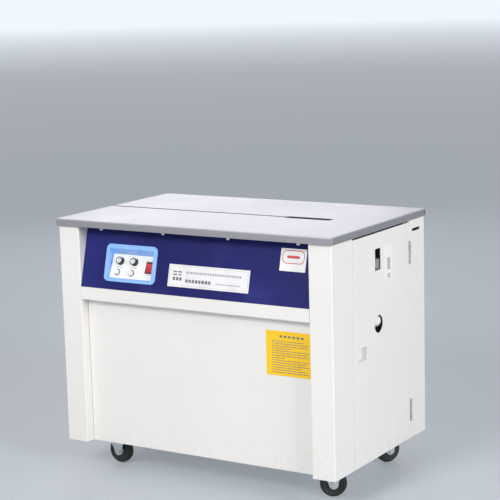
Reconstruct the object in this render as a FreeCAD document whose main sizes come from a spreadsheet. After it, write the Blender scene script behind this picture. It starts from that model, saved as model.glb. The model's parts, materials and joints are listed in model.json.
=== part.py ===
"""A semi-automatic strapping machine: a sheet-steel cabinet on four braked castors, a folded
stainless table with a strap slot, a sloping control panel, and the strapping head, its drive
and the strap reel inside.  Millimetres, +Z up, +X along the table to the operator's right,
the operator stands at -Y, and the origin is on the floor under the middle of the table."""
import FreeCAD
import Part
import math
import os
import re
import Sketcher
from FreeCAD import Placement, Rotation, Vector

SIZES = {
    # table
    "table_length": 900, "table_width": 565, "table_height": 740, "rim_height": 20, "rim_lip": 14,
    "slot_y": -8, "slot_width": 13, "opening_left_inset": 292, "opening_right_inset": 149,
    "opening_width": 32, "rim_hole_radius": 4, "rim_hole_inset": 9,
    # cabinet
    "steel": 2, "bend_radius": 3, "side_overhang": 5, "front_overhang": 7.5, "rear_overhang": 1.5,
    "skirt_drop": 16, "column_width": 70, "column_return": 60, "panel_recess": 29,
    "flange_depth": 25, "rail_bottom_drop": 232, "rail_top_drop": 194, "caster_head": 20,
    "base_thickness": 2.5,
    # table support
    "frame_bar": 20, "rail_offset": 105, "hanger_thickness": 6,
    # table screws, along the front rim
    "screw_first_inset": 156, "screw_second": -83, "screw_third": 129, "screw_fourth_inset": 104,
    "screw_radius": 3, "screw_reach": 8, "washer_margin": 1, "screw_head_radius": 5,
    "screw_head_height": 4.5, "washer_height": 1.5, "hole_clearance": 0.3,
    # service door
    "door_front_inset": 124.5, "door_rear_inset": 100.5, "door_gap": 2, "door_top_drop": 26,
    "door_return": 20, "hinge_proud": 1, "hinge_barrel_radius": 3.6, "hinge_pin_radius": 1.5,
    "hinge_length": 62, "knuckle_gap": 0.5, "hinge_room": 1.2, "upper_hinge_drop": 113,
    "lower_hinge_z": 167, "hinge_leaf": 22, "window_front": -30, "window_rear": 3,
    "window_bottom_drop": 130, "window_top_drop": 70, "peep_radius": 25, "peep_y": -12,
    "peep_drop": 280, "pull_setback": 25, "pull_length": 47, "pull_bottom": 376, "pull_top": 413,
    "pull_depth": 16,
    # control panel and what it carries
    "panel_tilt": 14.8, "panel_slope": 178, "panel_top_fold": 15, "bezel_inset": 241,
    "bezel_length": 175, "bezel_height": 107, "bezel_bottom": 23, "bezel_proud": 4,
    "bezel_corner": 15, "recess_length": 151, "recess_height": 86, "recess_bottom": 31,
    "cup_wall": 3, "cup_depth": 23, "face_tilt": 10, "face_length": 145, "face_height": 70,
    "face_depth": 3, "face_thickness": 1.2, "knob_height": 49.5, "left_column": -43.5,
    "right_column": 5, "button_shift": -5, "knob_radius": 10.5, "knob_length": 12.5,
    "knob_shaft_radius": 3, "knob_gap": 1, "knob_taper": 1, "shaft_room": 1, "button_chamfer": 1,
    "shaft_depth": 15, "button_height": 17, "button_radius": 7.5, "button_proud": 5,
    "button_depth": 6, "rocker_x": 58, "rocker_height": 37, "rocker_length": 19, "rocker_tall": 26,
    "rocker_proud": 3, "rocker_depth": 8, "rocker_clearance": 2, "rocker_pivot": 4,
    "rocker_throw": 18,
    # plates and labels
    "label_thickness": 0.6, "plate_gap": 43.5, "plate_length": 262.5, "plate_bottom": 25,
    "plate_tall": 62, "mark_inset": 102, "mark_length": 79, "mark_bottom": 94, "mark_tall": 61,
    "notice_inset": 151, "notice_length": 144, "notice_drop": 160, "notice_tall": 123,
    "door_label_front": 22, "door_label_length": 51, "door_label_bottom_drop": 163,
    "door_label_tall": 93,
    # castors
    "caster_inset": 95, "caster_inset_y": 114.5, "turn_front_left": 0, "turn_front_right": 32,
    "turn_rear_left": -24, "turn_rear_right": 60, "wheel_radius": 37.5, "wheel_width": 28,
    "wheel_shoulder": 5, "hub_lip": 2, "sleeve_wall": 3, "sleeve_proud": 1, "hub_radius": 17,
    "hub_recess": 3, "axle_radius": 6, "trail": 22, "fork_gap": 2, "fork_steel": 2.5,
    "crown_radius": 28, "tread_room": 5, "crown_thickness": 4, "kingpin_radius": 6,
    "race_radius": 26, "race_gap": 0.4, "plate_x": 75, "plate_y": 55, "plate_steel": 2.5,
    "bolt_x": 56, "bolt_y": 38, "bolt_radius": 4, "bolt_head_radius": 6.5, "bolt_head_height": 5.3,
    "bolt_end": 1, "axle_head_radius": 7, "axle_head_height": 4, "leg_end_radius": 13,
    "pedal_pivot_x": 36, "pedal_pivot_drop": 1, "pedal_pin_radius": 2.5, "pedal_boss_radius": 4.5,
    "pedal_length": 36, "pedal_thickness": 3.5, "pedal_width": 28,
    # running fits
    "running_fit": 0.05, "sliding_fit": 0.3,
    # strap reel
    "reel_inset": 245, "reel_room": 7.5, "reel_radius": 190, "reel_width": 190, "reel_flange": 3,
    "core_radius": 100, "core_wall": 4, "reel_shaft_radius": 10, "bracket_gap": 7,
    "bracket_steel": 4, "bracket_length": 80, "bracket_rise": 30, "bracket_foot": 34,
    # strap guide arm
    "arm_pivot_inset": 104, "arm_pivot_drop": 180, "arm_pin_radius": 6, "arm_boss_radius": 12,
    "arm_steel": 6, "arm_gap": 2, "arm_half_width": 8, "arm_pin_reach": 4, "axle_cap": 3,
    "guide_waist": 2, "guide_inset": 30, "guide_drop": 275, "guide_radius": 20, "guide_width": 45,
    "guide_axle_radius": 5, "guide_gap": 1,
    # strapping head
    "head_left_inset": 310, "head_right_inset": 120, "head_plate": 8, "head_gap": 52,
    "head_bottom_drop": 184, "head_top_drop": 9, "lug_width": 30, "lug_half_height": 16,
    "press_way": 14, "blade_room": 3, "end_gap": 2, "deck_bottom_drop": 50, "deck_top_drop": 28,
    "cam_axis_drop": 110, "cam_shaft_radius": 10, "cam_shaft_left_inset": 358, "cam_radius": 22,
    "cam_offset": 4, "cam_width": 12, "gripper_depth": 26, "gripper_bottom_drop": 82,
    "gripper_top_drop": 18, "press_top_drop": 22, "left_gripper_inset": 250, "press_inset": 210,
    "right_gripper_inset": 172, "gripper_length": 24, "press_length": 30, "slide_bottom_drop": 8.5,
    "slide_thickness": 4, "slide_lap": 4, "blade_setback": 6, "slide_depth": 84,
    "heater_length": 34, "heater_front": 22, "heater_rear": 80, "blade_thickness": 2,
    "blade_bottom_drop": 13, "carrier_depth": 14, "carrier_bottom_drop": 40,
    # feed, drive and controls inside
    "feed_inset": 278, "feed_drop": 158, "feed_radius": 18, "feed_length": 30,
    "feed_shaft_radius": 5, "feed_motor_radius": 28, "feed_motor_length": 70, "shaft_socket": 20,
    "shaft_end": 1, "neck_depth": 60, "motor_neck_depth": 40, "motor_plate_reach": 30,
    "gearbox_left_inset": 410, "gearbox_right_inset": 320, "gearbox_bottom_drop": 180,
    "gearbox_top_drop": 50, "gearbox_depth": 100, "neck_inset": 20, "input_drop": 135,
    "input_shaft_radius": 8, "pulley_left_inset": 470, "pulley_width": 18, "big_pulley_radius": 40,
    "small_pulley_radius": 25, "groove_depth": 6, "belt_gap": 0.4, "belt_thickness": 7,
    "belt_width": 9, "motor_y": 105, "motor_drop": 105, "motor_radius": 55,
    "motor_left_inset": 640, "motor_right_inset": 480, "motor_shaft_radius": 7, "tension_y": -5,
    "tension_drop": 115, "tension_boss_radius": 12, "tension_boss_length": 22,
    "tension_shaft_radius": 5, "tension_knob_left_inset": 30, "tension_knob_length": 20,
    "tension_knob_radius": 15, "control_box_depth": 60, "control_box_front": -120,
    "control_box_rear": 60, "control_box_bottom_drop": 290, "control_box_top_drop": 90,
    # rear panel
    "rear_slot_inset": 32, "rear_slot_length": 48, "rear_slot_drop": 27, "rear_slot_height": 8,
    "vent_length": 60, "vent_height": 6, "vent_pitch": 16, "vent_count": 8, "vent_bottom": 420,
    "inlet_inset": 150, "inlet_z": 190, "inlet_length": 28, "inlet_tall": 20, "inlet_flange": 11,
    "inlet_flange_thickness": 1.5, "inlet_depth": 25, "inlet_recess": 16, "inlet_wall": 2.5,
    "inlet_pin_spread": 7, "inlet_pin_drop": 1.5, "inlet_earth_rise": 3, "inlet_pin_width": 2,
    "inlet_pin_tall": 4, "inlet_pin_setback": 3,
}

# Places that follow the table's ends, edges and height, so that each piece keeps its distance
# from the side that it is fixed to.
PLACES = {
    "opening_left": "table_length / 2 - opening_left_inset",
    "opening_right": "table_length / 2 - opening_right_inset",
    "reel_x": "table_length / 2 - reel_inset",
    "arm_pivot_x": "table_length / 2 - arm_pivot_inset",
    "guide_x": "table_length / 2 - guide_inset",
    "head_left": "table_length / 2 - head_left_inset",
    "head_right": "table_length / 2 - head_right_inset",
    "cam_shaft_left": "table_length / 2 - cam_shaft_left_inset",
    "left_gripper_x": "table_length / 2 - left_gripper_inset",
    "press_x": "table_length / 2 - press_inset",
    "right_gripper_x": "table_length / 2 - right_gripper_inset",
    "feed_x": "table_length / 2 - feed_inset",
    "gearbox_left": "table_length / 2 - gearbox_left_inset",
    "gearbox_right": "table_length / 2 - gearbox_right_inset",
    "pulley_left": "table_length / 2 - pulley_left_inset",
    "motor_left": "table_length / 2 - motor_left_inset",
    "motor_right": "table_length / 2 - motor_right_inset",
    "tension_knob_left": "table_length / 2 - tension_knob_left_inset",
    "caster_x": "table_length / 2 - caster_inset",
    "screw_fourth": "table_length / 2 - screw_fourth_inset",
    "screw_first": "-table_length / 2 + screw_first_inset",
    "bezel_x": "-table_length / 2 + bezel_inset",
    "inlet_x": "-table_length / 2 + inlet_inset",
    "hinge_axis_x": "table_length / 2 - side_overhang + hinge_proud",
    "plate_left": "bezel_x + bezel_length / 2 + plate_gap",
    "mark_left": "table_length / 2 - side_overhang - column_width - mark_inset",
    "notice_left": "table_length / 2 - side_overhang - column_width - notice_inset",
    "rail_bottom": "table_height - rail_bottom_drop",
    "rail_top": "table_height - rail_top_drop",
    "door_top": "table_height - door_top_drop",
    "upper_hinge_z": "table_height - upper_hinge_drop",
    "window_bottom": "table_height - window_bottom_drop",
    "window_top": "table_height - window_top_drop",
    "tension_z": "table_height - tension_drop",
    "arm_pivot_z": "table_height - arm_pivot_drop",
    "guide_z": "table_height - guide_drop",
    "peep_z": "table_height - peep_drop",
    "door_label_bottom": "table_height - door_label_bottom_drop",
    "head_bottom": "table_height - head_bottom_drop",
    "head_top": "table_height - head_top_drop",
    "deck_bottom": "table_height - deck_bottom_drop",
    "deck_top": "table_height - deck_top_drop",
    "cam_axis_z": "table_height - cam_axis_drop",
    "gripper_bottom": "table_height - gripper_bottom_drop",
    "gripper_top": "table_height - gripper_top_drop",
    "press_top": "table_height - press_top_drop",
    "slide_bottom": "table_height - slide_bottom_drop",
    "blade_bottom": "table_height - blade_bottom_drop",
    "carrier_bottom": "table_height - carrier_bottom_drop",
    "feed_z": "table_height - feed_drop",
    "gearbox_bottom": "table_height - gearbox_bottom_drop",
    "gearbox_top": "table_height - gearbox_top_drop",
    "input_z": "table_height - input_drop",
    "motor_z": "table_height - motor_drop",
    "control_box_bottom": "table_height - control_box_bottom_drop",
    "control_box_top": "table_height - control_box_top_drop",
    "notice_bottom": "rail_bottom - notice_drop",
    "door_front": "-table_width / 2 + door_front_inset",
    "door_rear": "table_width / 2 - door_rear_inset",
    "caster_y": "table_width / 2 - caster_inset_y",
    "pull_front": "door_front + pull_setback",
    "pull_rear": "pull_front + pull_length",
    "crown_bottom": "2 * wheel_radius + tread_room",
    "pedal_pivot_z": "crown_bottom - pedal_pivot_drop",
    "base_underside": "crown_bottom + caster_head",
    "skirt_bottom": "base_underside - skirt_drop",
    "reel_z": "base_underside + base_thickness + reel_room + reel_radius",
}

# Lines that several pieces share, worked out from the sizes.
CABINET_X = "(table_length / 2 - side_overhang)"
FRONT_Y = "(-table_width / 2 + front_overhang)"
REAR_Y = "(table_width / 2 - rear_overhang)"
COLUMN_X = f"({CABINET_X} - column_width)"
RETURN_FRONT_Y = f"({FRONT_Y} + column_return)"
RETURN_REAR_Y = f"({REAR_Y} - column_return)"
RIM_BOTTOM = "(table_height - rim_height)"
LIP_TOP = f"({RIM_BOTTOM} + steel)"
PLATE_UNDER = "(table_height - steel)"
PANEL_Y = f"({FRONT_Y} + panel_recess)"
BASE_TOP = "(base_underside + base_thickness)"
JAMB_X = f"({CABINET_X} - door_return)"
HANGER_BOTTOM = f"({LIP_TOP} - hanger_thickness)"
HEAD_FRONT_Y = "(slot_y - head_gap / 2)"
HEAD_REAR_Y = "(slot_y + head_gap / 2)"
RAIL_FRONT_Y = "(slot_y - rail_offset - frame_bar / 2)"
RAIL_REAR_Y = "(slot_y + rail_offset + frame_bar / 2)"
FACE_V = "(recess_bottom + cup_wall)"

# Millimetres within which two edges count as the same.
TOUCH = 0.01

document = FreeCAD.newDocument("strapping_machine")
sheet = document.addObject("Spreadsheet::Sheet", "size")
for row, (alias, number) in enumerate(SIZES.items(), start=1):
    sheet.set(f"A{row}", alias)
    sheet.set(f"B{row}", str(number))
    sheet.setAlias(f"B{row}", alias)
document.recompute()
parts = []


def spelled(word):
    """A name as an expression: a place by its own line, a size by its cell in the sheet."""
    name = word[0]
    if name in PLACES:
        return f"({full(PLACES[name])})"
    return f"size.{name}" if name in SIZES else name


def full(text):
    """The expression with every place and size in it spelled out."""
    return re.sub(r"[a-z_]+", spelled, text)


def value(text):
    """The number that an expression gives now."""
    return float(sheet.evalExpression(re.sub(r"size\.", "", full(text))))


def bind(item, **texts):
    for name, text in texts.items():
        item.setExpression(name, full(text))


def place(item, x="0", y="0", z="0"):
    for axis, text in zip("xyz", (x, y, z)):
        item.setExpression(f"Placement.Base.{axis}", full(text))
    return item


def turn(item, axis, angle):
    """Tilts or turns a finished piece about its own origin by a size of the sheet."""
    item.Placement = Placement(Vector(), Rotation(axis, 1))
    item.setExpression("Placement.Rotation.Angle", full(angle))
    return item


def node(label, item):
    """Marks a finished piece: its label is its name as a part."""
    item.Label = label
    parts.append(item)
    return item


def box(x, y, z):
    """A block between three pairs of faces."""
    item = document.addObject("Part::Box", "block")
    bind(item, Length=f"({x[1]}) - ({x[0]})", Width=f"({y[1]}) - ({y[0]})",
         Height=f"({z[1]}) - ({z[0]})")
    return place(item, x[0], y[0], z[0])


AIM = {"X": Rotation(Vector(0, 1, 0), 90), "Y": Rotation(Vector(1, 0, 0), -90), "Z": Rotation()}


def rod(axis, start, radius, length):
    """A round bar from its start point along an axis."""
    item = document.addObject("Part::Cylinder", "rod")
    item.Placement = Placement(Vector(), AIM[axis])
    bind(item, Radius=radius, Height=length)
    return place(item, *start)


def hexagon(start, radius, height):
    """A bolt head or nut standing on its start point."""
    item = document.addObject("Part::Prism", "hexagon")
    item.Polygon = 6
    bind(item, Circumradius=radius, Height=height)
    return place(item, *start)


def joined(pieces):
    item = document.addObject("Part::MultiFuse", "joined")
    item.Shapes = pieces
    item.Refine = True
    return item


def group(pieces):
    """Like pieces that stay separate solids in one part."""
    item = document.addObject("Part::Compound", "group")
    item.Links = pieces
    return item


def cut(base, tools):
    item = document.addObject("Part::Cut", "cut")
    item.Base = base
    item.Tool = tools[0] if len(tools) == 1 else joined(tools)
    item.Refine = True
    return item


def new_body():
    return document.addObject("PartDesign::Body", "body")


def origin_feature(body, role):
    return next(item for item in body.Origin.OriginFeatures if item.Role == role)


def new_sketch(body, plane, offset="0"):
    sketch = body.newObject("Sketcher::SketchObject", "outline")
    sketch.AttachmentSupport = [(origin_feature(body, plane), "")]
    sketch.MapMode = "FlatFace"
    sketch.setExpression("AttachmentOffset.Base.z", full(offset))
    return sketch


def draw_outline(sketch, corners):
    """A closed outline of straight lines, each corner tied to the sheet."""
    points = [Vector(value(u), value(v), 0) for u, v in corners]
    first = sketch.GeometryCount
    total = len(points)
    for index in range(total):
        sketch.addGeometry(Part.LineSegment(points[index], points[(index + 1) % total]), False)
    for index in range(total):
        follower = first + (index + 1) % total
        sketch.addConstraint(Sketcher.Constraint("Coincident", first + index, 2, follower, 1))
    for index, corner in enumerate(corners):
        for kind, text in zip(("DistanceX", "DistanceY"), corner):
            tie = Sketcher.Constraint(kind, -1, 1, first + index, 1, value(text))
            sketch.setExpression(f"Constraints[{sketch.addConstraint(tie)}]", full(text))


def rectangle(u, v):
    return [(u[0], v[0]), (u[1], v[0]), (u[1], v[1]), (u[0], v[1])]


def pad(body, plane, corners, length, offset="0", reverse=False):
    sketch = new_sketch(body, plane, offset)
    draw_outline(sketch, corners)
    feature = body.newObject("PartDesign::Pad", "pad")
    feature.Profile = sketch
    feature.Reversed = reverse
    bind(feature, Length=length)
    document.recompute()
    return feature


def pocket(body, plane, corners, length, offset="0", reverse=False, both_ways=False):
    """Cuts an outline away and makes sure that it took something."""
    before = body.Shape.Volume
    sketch = new_sketch(body, plane, offset)
    draw_outline(sketch, corners)
    feature = body.newObject("PartDesign::Pocket", "pocket")
    feature.Profile = sketch
    feature.Reversed = reverse
    if both_ways:
        feature.SideType = "Symmetric"
    bind(feature, Length=length)
    document.recompute()
    if body.Shape.Volume >= before:
        raise RuntimeError("a pocket cut nothing")
    return feature


def round_edges(body, radius, chosen):
    """Rounds the edges of the body that the test picks out."""
    base = body.Tip
    names = [f"Edge{number}" for number,
             edge in enumerate(base.Shape.Edges, start=1) if chosen(edge)]
    feature = body.newObject("PartDesign::Fillet", "rounding")
    feature.Base = (base, names)
    bind(feature, Radius=radius)
    document.recompute()
    return feature


def runs_along(edge, axis):
    if edge.Curve.TypeId != "Part::GeomLine":
        return False
    direction = edge.tangentAt(edge.FirstParameter)
    return abs(getattr(direction, axis)) > 0.999


def folded(plane, path, length, offset="0"):
    """A strip of sheet steel bent square along a path, with its thickness on the path's left."""
    count = len(path)
    steps = []
    for start, end in zip(path, path[1:]):
        du = value(end[0]) - value(start[0])
        dv = value(end[1]) - value(start[1])
        steps.append((0 if abs(du) < TOUCH else math.copysign(1, du),
                      0 if abs(dv) < TOUCH else math.copysign(1, dv)))
    inner = []
    for index, (u, v) in enumerate(path):
        beside = {steps[max(index - 1, 0)], steps[min(index, count - 2)]}
        shift_u = -sum(step[1] for step in beside)
        shift_v = sum(step[0] for step in beside)
        inner.append((f"{u} + {shift_u:.0f} * steel", f"{v} + {shift_v:.0f} * steel"))
    body = new_body()
    pad(body, plane, path + inner[::-1], length, offset)
    along = {"XY_Plane": "z", "YZ_Plane": "x"}[plane]
    across = {"XY_Plane": ("x", "y"), "YZ_Plane": ("y", "z")}[plane]
    bends = [(value(u), value(v)) for u, v in path[1:-1]]

    def is_bend(edge):
        spot = edge.valueAt(edge.FirstParameter)
        here = [getattr(spot, name) for name in across]
        return runs_along(edge, along) and any(math.dist(here, bend) < TOUCH for bend in bends)

    round_edges(body, "bend_radius", is_bend)
    return body


def turned(profile):
    """A piece turned about Z: the profile is (radius, height) pairs."""
    body = new_body()
    sketch = new_sketch(body, "XZ_Plane")
    draw_outline(sketch, profile)
    feature = body.newObject("PartDesign::Revolution", "turning")
    feature.Profile = sketch
    feature.ReferenceAxis = (sketch, ["V_Axis"])
    document.recompute()
    return body


def aimed(item, axis, start):
    """Lays a piece turned about Z along another axis, starting at a point."""
    item.Placement = Placement(Vector(), AIM[axis])
    return place(item, *start)


# ---------------------------------------------------------------- cabinet

def base_plate():
    """Floor of the cabinet, let in between the columns' returns, with the castor bolt holes."""
    inner_x = f"({COLUMN_X} - steel)"
    wall_x = f"({CABINET_X} - steel)"
    level = ("base_underside", BASE_TOP)
    middle = box((f"-{inner_x}", inner_x), (f"{PANEL_Y} + steel", f"{REAR_Y} - steel"), level)
    wings = box((f"-{wall_x}", f"{JAMB_X} - door_gap"), (RETURN_FRONT_Y, RETURN_REAR_Y), level)
    front = box(("0", wall_x), (RETURN_FRONT_Y, "door_front - door_gap - steel"), level)
    rear = box(("0", wall_x), ("door_rear + door_gap + steel", RETURN_REAR_Y), level)
    holes = [rod("Z", (x, y, "base_underside"), "bolt_radius + hole_clearance", "base_thickness")
             for x, y in caster_bolt_places()]
    node("base_plate", cut(joined([middle, wings, front, rear]), holes))


def left_side_shell():
    """Left wall, folded round into both left columns, with cooling slots."""
    path = [(f"-{COLUMN_X}", RETURN_REAR_Y), (f"-{COLUMN_X}", REAR_Y), (f"-{CABINET_X}", REAR_Y),
            (f"-{CABINET_X}", FRONT_Y), (f"-{COLUMN_X}", FRONT_Y), (f"-{COLUMN_X}", RETURN_FRONT_Y)]
    shell = folded("XY_Plane", path, f"{RIM_BOTTOM} - skirt_bottom", "skirt_bottom")
    slots = [box((f"-{CABINET_X} - steel", f"-{CABINET_X} + 2 * steel"),
                 ("-vent_length", "vent_length"),
                 (f"vent_bottom + {index} * vent_pitch",
                  f"vent_bottom + {index} * vent_pitch + vent_height"))
             for index in range(SIZES["vent_count"])]
    node("left_side_shell", cut(shell, slots))


def right_columns():
    """The two folded columns that frame the service door."""
    front = [(COLUMN_X, RETURN_FRONT_Y), (COLUMN_X, FRONT_Y), (CABINET_X, FRONT_Y),
             (CABINET_X, "door_front - door_gap"), (JAMB_X, "door_front - door_gap")]
    node("right_front_column",
         folded("XY_Plane", front, f"{RIM_BOTTOM} - skirt_bottom", "skirt_bottom"))
    rear = [(JAMB_X, "door_rear + door_gap"), (CABINET_X, "door_rear + door_gap"),
            (CABINET_X, REAR_Y), (COLUMN_X, REAR_Y), (COLUMN_X, RETURN_REAR_Y)]
    column = folded("XY_Plane", rear, f"{RIM_BOTTOM} - skirt_bottom", "skirt_bottom")
    slot = box((f"{CABINET_X} - 2 * steel", f"{CABINET_X} + steel"),
               (f"{REAR_Y} - rear_slot_inset - rear_slot_length", f"{REAR_Y} - rear_slot_inset"),
               (f"{RIM_BOTTOM} - rear_slot_drop - rear_slot_height", f"{RIM_BOTTOM} - rear_slot_drop"))
    notches = [hinge_notch(z, 1) for z in ("upper_hinge_z", "lower_hinge_z")]
    node("right_rear_column", cut(column, [slot] + notches))


def hinge_notch(middle_z, side):
    """Room in a sheet's edge for a hinge barrel: side -1 is the door's edge, 1 the column's."""
    axis_y = "(door_rear + door_gap / 2)"
    far = f"{axis_y} + {side} * (hinge_barrel_radius + hinge_room)"
    span = (far, axis_y) if side < 0 else (axis_y, far)
    return box(("hinge_axis_x - hinge_barrel_radius - 3 * steel",
                "hinge_axis_x + hinge_barrel_radius"), span,
               (f"{middle_z} - hinge_length / 2 - hinge_room",
                f"{middle_z} + hinge_length / 2 + hinge_room"))


def front_panels():
    """The recessed lower front and the folded rail above it."""
    lower = [(f"-{COLUMN_X}", f"{PANEL_Y} + flange_depth"), (f"-{COLUMN_X}", PANEL_Y),
             (COLUMN_X, PANEL_Y), (COLUMN_X, f"{PANEL_Y} + flange_depth")]
    node("front_lower_panel",
         folded("XY_Plane", lower, "rail_bottom - skirt_bottom", "skirt_bottom"))
    rail = [(f"{FRONT_Y} + flange_depth", "rail_top"), (FRONT_Y, "rail_top"),
            (FRONT_Y, "rail_bottom"),
            (f"{PANEL_Y} + steel", "rail_bottom")]
    node("front_rail", folded("YZ_Plane", rail, f"2 * {COLUMN_X}", f"-{COLUMN_X}"))


def rear_panel():
    """Back cover with a block of cooling slots and the power inlet's cut-out."""
    path = [(COLUMN_X, f"{REAR_Y} - flange_depth"), (COLUMN_X, REAR_Y), (f"-{COLUMN_X}", REAR_Y),
            (f"-{COLUMN_X}", f"{REAR_Y} - flange_depth")]
    panel = folded("XY_Plane", path, f"{RIM_BOTTOM} - skirt_bottom", "skirt_bottom")
    wall = (f"{REAR_Y} - 2 * steel", f"{REAR_Y} + steel")
    slots = [box((f"{middle} - vent_length", f"{middle} + vent_length"), wall,
                 (f"vent_bottom + {index} * vent_pitch",
                  f"vent_bottom + {index} * vent_pitch + vent_height"))
             for index in range(SIZES["vent_count"]) for middle in (f"-{COLUMN_X} / 2",
                                                                    f"{COLUMN_X} / 2")]
    inlet = box(("inlet_x - inlet_length / 2 - hole_clearance",
                 "inlet_x + inlet_length / 2 + hole_clearance"), wall,
                ("inlet_z - inlet_tall / 2 - hole_clearance",
                 "inlet_z + inlet_tall / 2 + hole_clearance"))
    node("rear_panel", cut(panel, slots + [inlet]))


def power_inlet():
    """Moulded socket for a removable mains lead, with three pins in its well."""
    flange = box(("inlet_x - inlet_length / 2 - inlet_flange",
                  "inlet_x + inlet_length / 2 + inlet_flange"),
                 (REAR_Y, f"{REAR_Y} + inlet_flange_thickness"),
                 ("inlet_z - inlet_tall / 2 - inlet_wall", "inlet_z + inlet_tall / 2 + inlet_wall"))
    shell = box(("inlet_x - inlet_length / 2", "inlet_x + inlet_length / 2"),
                (f"{REAR_Y} - inlet_depth", REAR_Y),
                ("inlet_z - inlet_tall / 2", "inlet_z + inlet_tall / 2"))
    well = box(("inlet_x - inlet_length / 2 + inlet_wall",
                "inlet_x + inlet_length / 2 - inlet_wall"),
               (f"{REAR_Y} - inlet_recess", f"{REAR_Y} + inlet_flange_thickness"),
               ("inlet_z - inlet_tall / 2 + inlet_wall", "inlet_z + inlet_tall / 2 - inlet_wall"))
    pins = [box((f"inlet_x + {across} - inlet_pin_width / 2",
                 f"inlet_x + {across} + inlet_pin_width / 2"),
                (f"{REAR_Y} - inlet_recess", f"{REAR_Y} - inlet_pin_setback"),
                (f"inlet_z + {up} - inlet_pin_tall / 2", f"inlet_z + {up} + inlet_pin_tall / 2"))
            for across, up in (("-inlet_pin_spread", "-inlet_pin_drop"), ("0", "inlet_earth_rise"),
                               ("inlet_pin_spread", "-inlet_pin_drop"))]
    node("power_inlet", joined([cut(joined([flange, shell]), [well])] + pins))


def top_frame():
    """Inverted channels round the table's edge and two cross rails that carry the works."""
    inner_x = "(table_length / 2 - steel)"
    inner_y = "(table_width / 2 - steel)"
    level = (LIP_TOP, PLATE_UNDER)
    hollow = (LIP_TOP, f"{PLATE_UNDER} - steel")

    def ring(inset, depth, heights):
        outer = box((f"-{inner_x} + {inset}", f"{inner_x} - {inset}"),
                    (f"-{inner_y} + {inset}", f"{inner_y} - {inset}"), heights)
        room = box((f"-{inner_x} + {depth}", f"{inner_x} - {depth}"),
                   (f"-{inner_y} + {depth}", f"{inner_y} - {depth}"), heights)
        return cut(outer, [room])

    rails = [box((f"-{inner_x} + frame_bar", f"{inner_x} - frame_bar"),
                 (f"{low}", f"{low} + frame_bar"), level)
             for low in (RAIL_FRONT_Y, f"{RAIL_REAR_Y} - frame_bar")]
    grooves = [box((f"-{inner_x} + frame_bar", f"{inner_x} - frame_bar"),
                   (f"{low} + steel", f"{low} + frame_bar - steel"), hollow)
               for low in (RAIL_FRONT_Y, f"{RAIL_REAR_Y} - frame_bar")]
    strap_way = box((f"-{inner_x}", f"-{inner_x} + frame_bar"),
                    ("slot_y - slot_width", "slot_y + slot_width"), level)
    whole = joined([ring("0", "frame_bar", level)] + rails)
    node("top_frame",
         cut(whole, [ring("steel", "frame_bar - steel", hollow)] + grooves + [strap_way]))


def table_top():
    """Stainless sheet folded down into a rim with a lip, with the strap slot and head opening."""
    half_x = "table_length / 2"
    half_y = "table_width / 2"
    body = new_body()
    pad(body, "XY_Plane", rectangle((f"-{half_x}", half_x), (f"-{half_y}", half_y)), "rim_height",
        RIM_BOTTOM)
    round_edges(body, "bend_radius", lambda edge: runs_along(edge, "z"))
    top = value("table_height")
    round_edges(body, "steel", lambda edge: abs(edge.BoundBox.ZMin - top) < TOUCH)
    pocket(body, "XY_Plane", rectangle((f"-{half_x} + steel", f"{half_x} - steel"),
                                       (f"-{half_y} + steel", f"{half_y} - steel")),
           "rim_height - 2 * steel", LIP_TOP, reverse=True)
    pocket(body, "XY_Plane", rectangle((f"-{half_x} + rim_lip", f"{half_x} - rim_lip"),
                                       (f"-{half_y} + rim_lip", f"{half_y} - rim_lip")),
           "steel", RIM_BOTTOM, reverse=True)
    slot = box((f"-{half_x} - steel", "opening_left"),
               ("slot_y - slot_width / 2", "slot_y + slot_width / 2"),
               (f"{LIP_TOP} + 2 * steel", "table_height + steel"))
    opening = box(("opening_left", "opening_right"),
                  ("slot_y - opening_width / 2", "slot_y + opening_width / 2"),
                  (f"{PLATE_UNDER} - steel", "table_height + steel"))
    screw_holes = [rod("Z", (x, table_screw_y(), RIM_BOTTOM), "screw_radius + hole_clearance",
                       "steel")
                   for x in TABLE_SCREWS]
    corner_hole = rod("X",
                      (f"-{half_x} - steel", f"{half_y} - rim_hole_inset",
                       f"{RIM_BOTTOM} + rim_height / 2"),
                      "rim_hole_radius", "table_length + 2 * steel")
    node("table_top", cut(body, [slot, opening, corner_hole] + screw_holes))


TABLE_SCREWS = ("screw_first", "screw_second", "screw_third", "screw_fourth")


def table_screw_y():
    return "(-table_width / 2 + rim_lip / 2 + steel)"


def table_screws():
    """Hexagon screws and washers that hold the table's front lip."""
    screws = []
    for x in TABLE_SCREWS:
        y = table_screw_y()
        washer = rod("Z", (x, y, f"{RIM_BOTTOM} - washer_height"),
                     "screw_head_radius + washer_margin", "washer_height")
        head = hexagon((x, y, f"{RIM_BOTTOM} - washer_height - screw_head_height"),
                       "screw_head_radius", "screw_head_height")
        shank = rod("Z", (x, y, RIM_BOTTOM), "screw_radius", "screw_reach")
        screws.append(joined([washer, head, shank]))
    node("table_screws", group(screws))


# ---------------------------------------------------------------- service door

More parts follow.
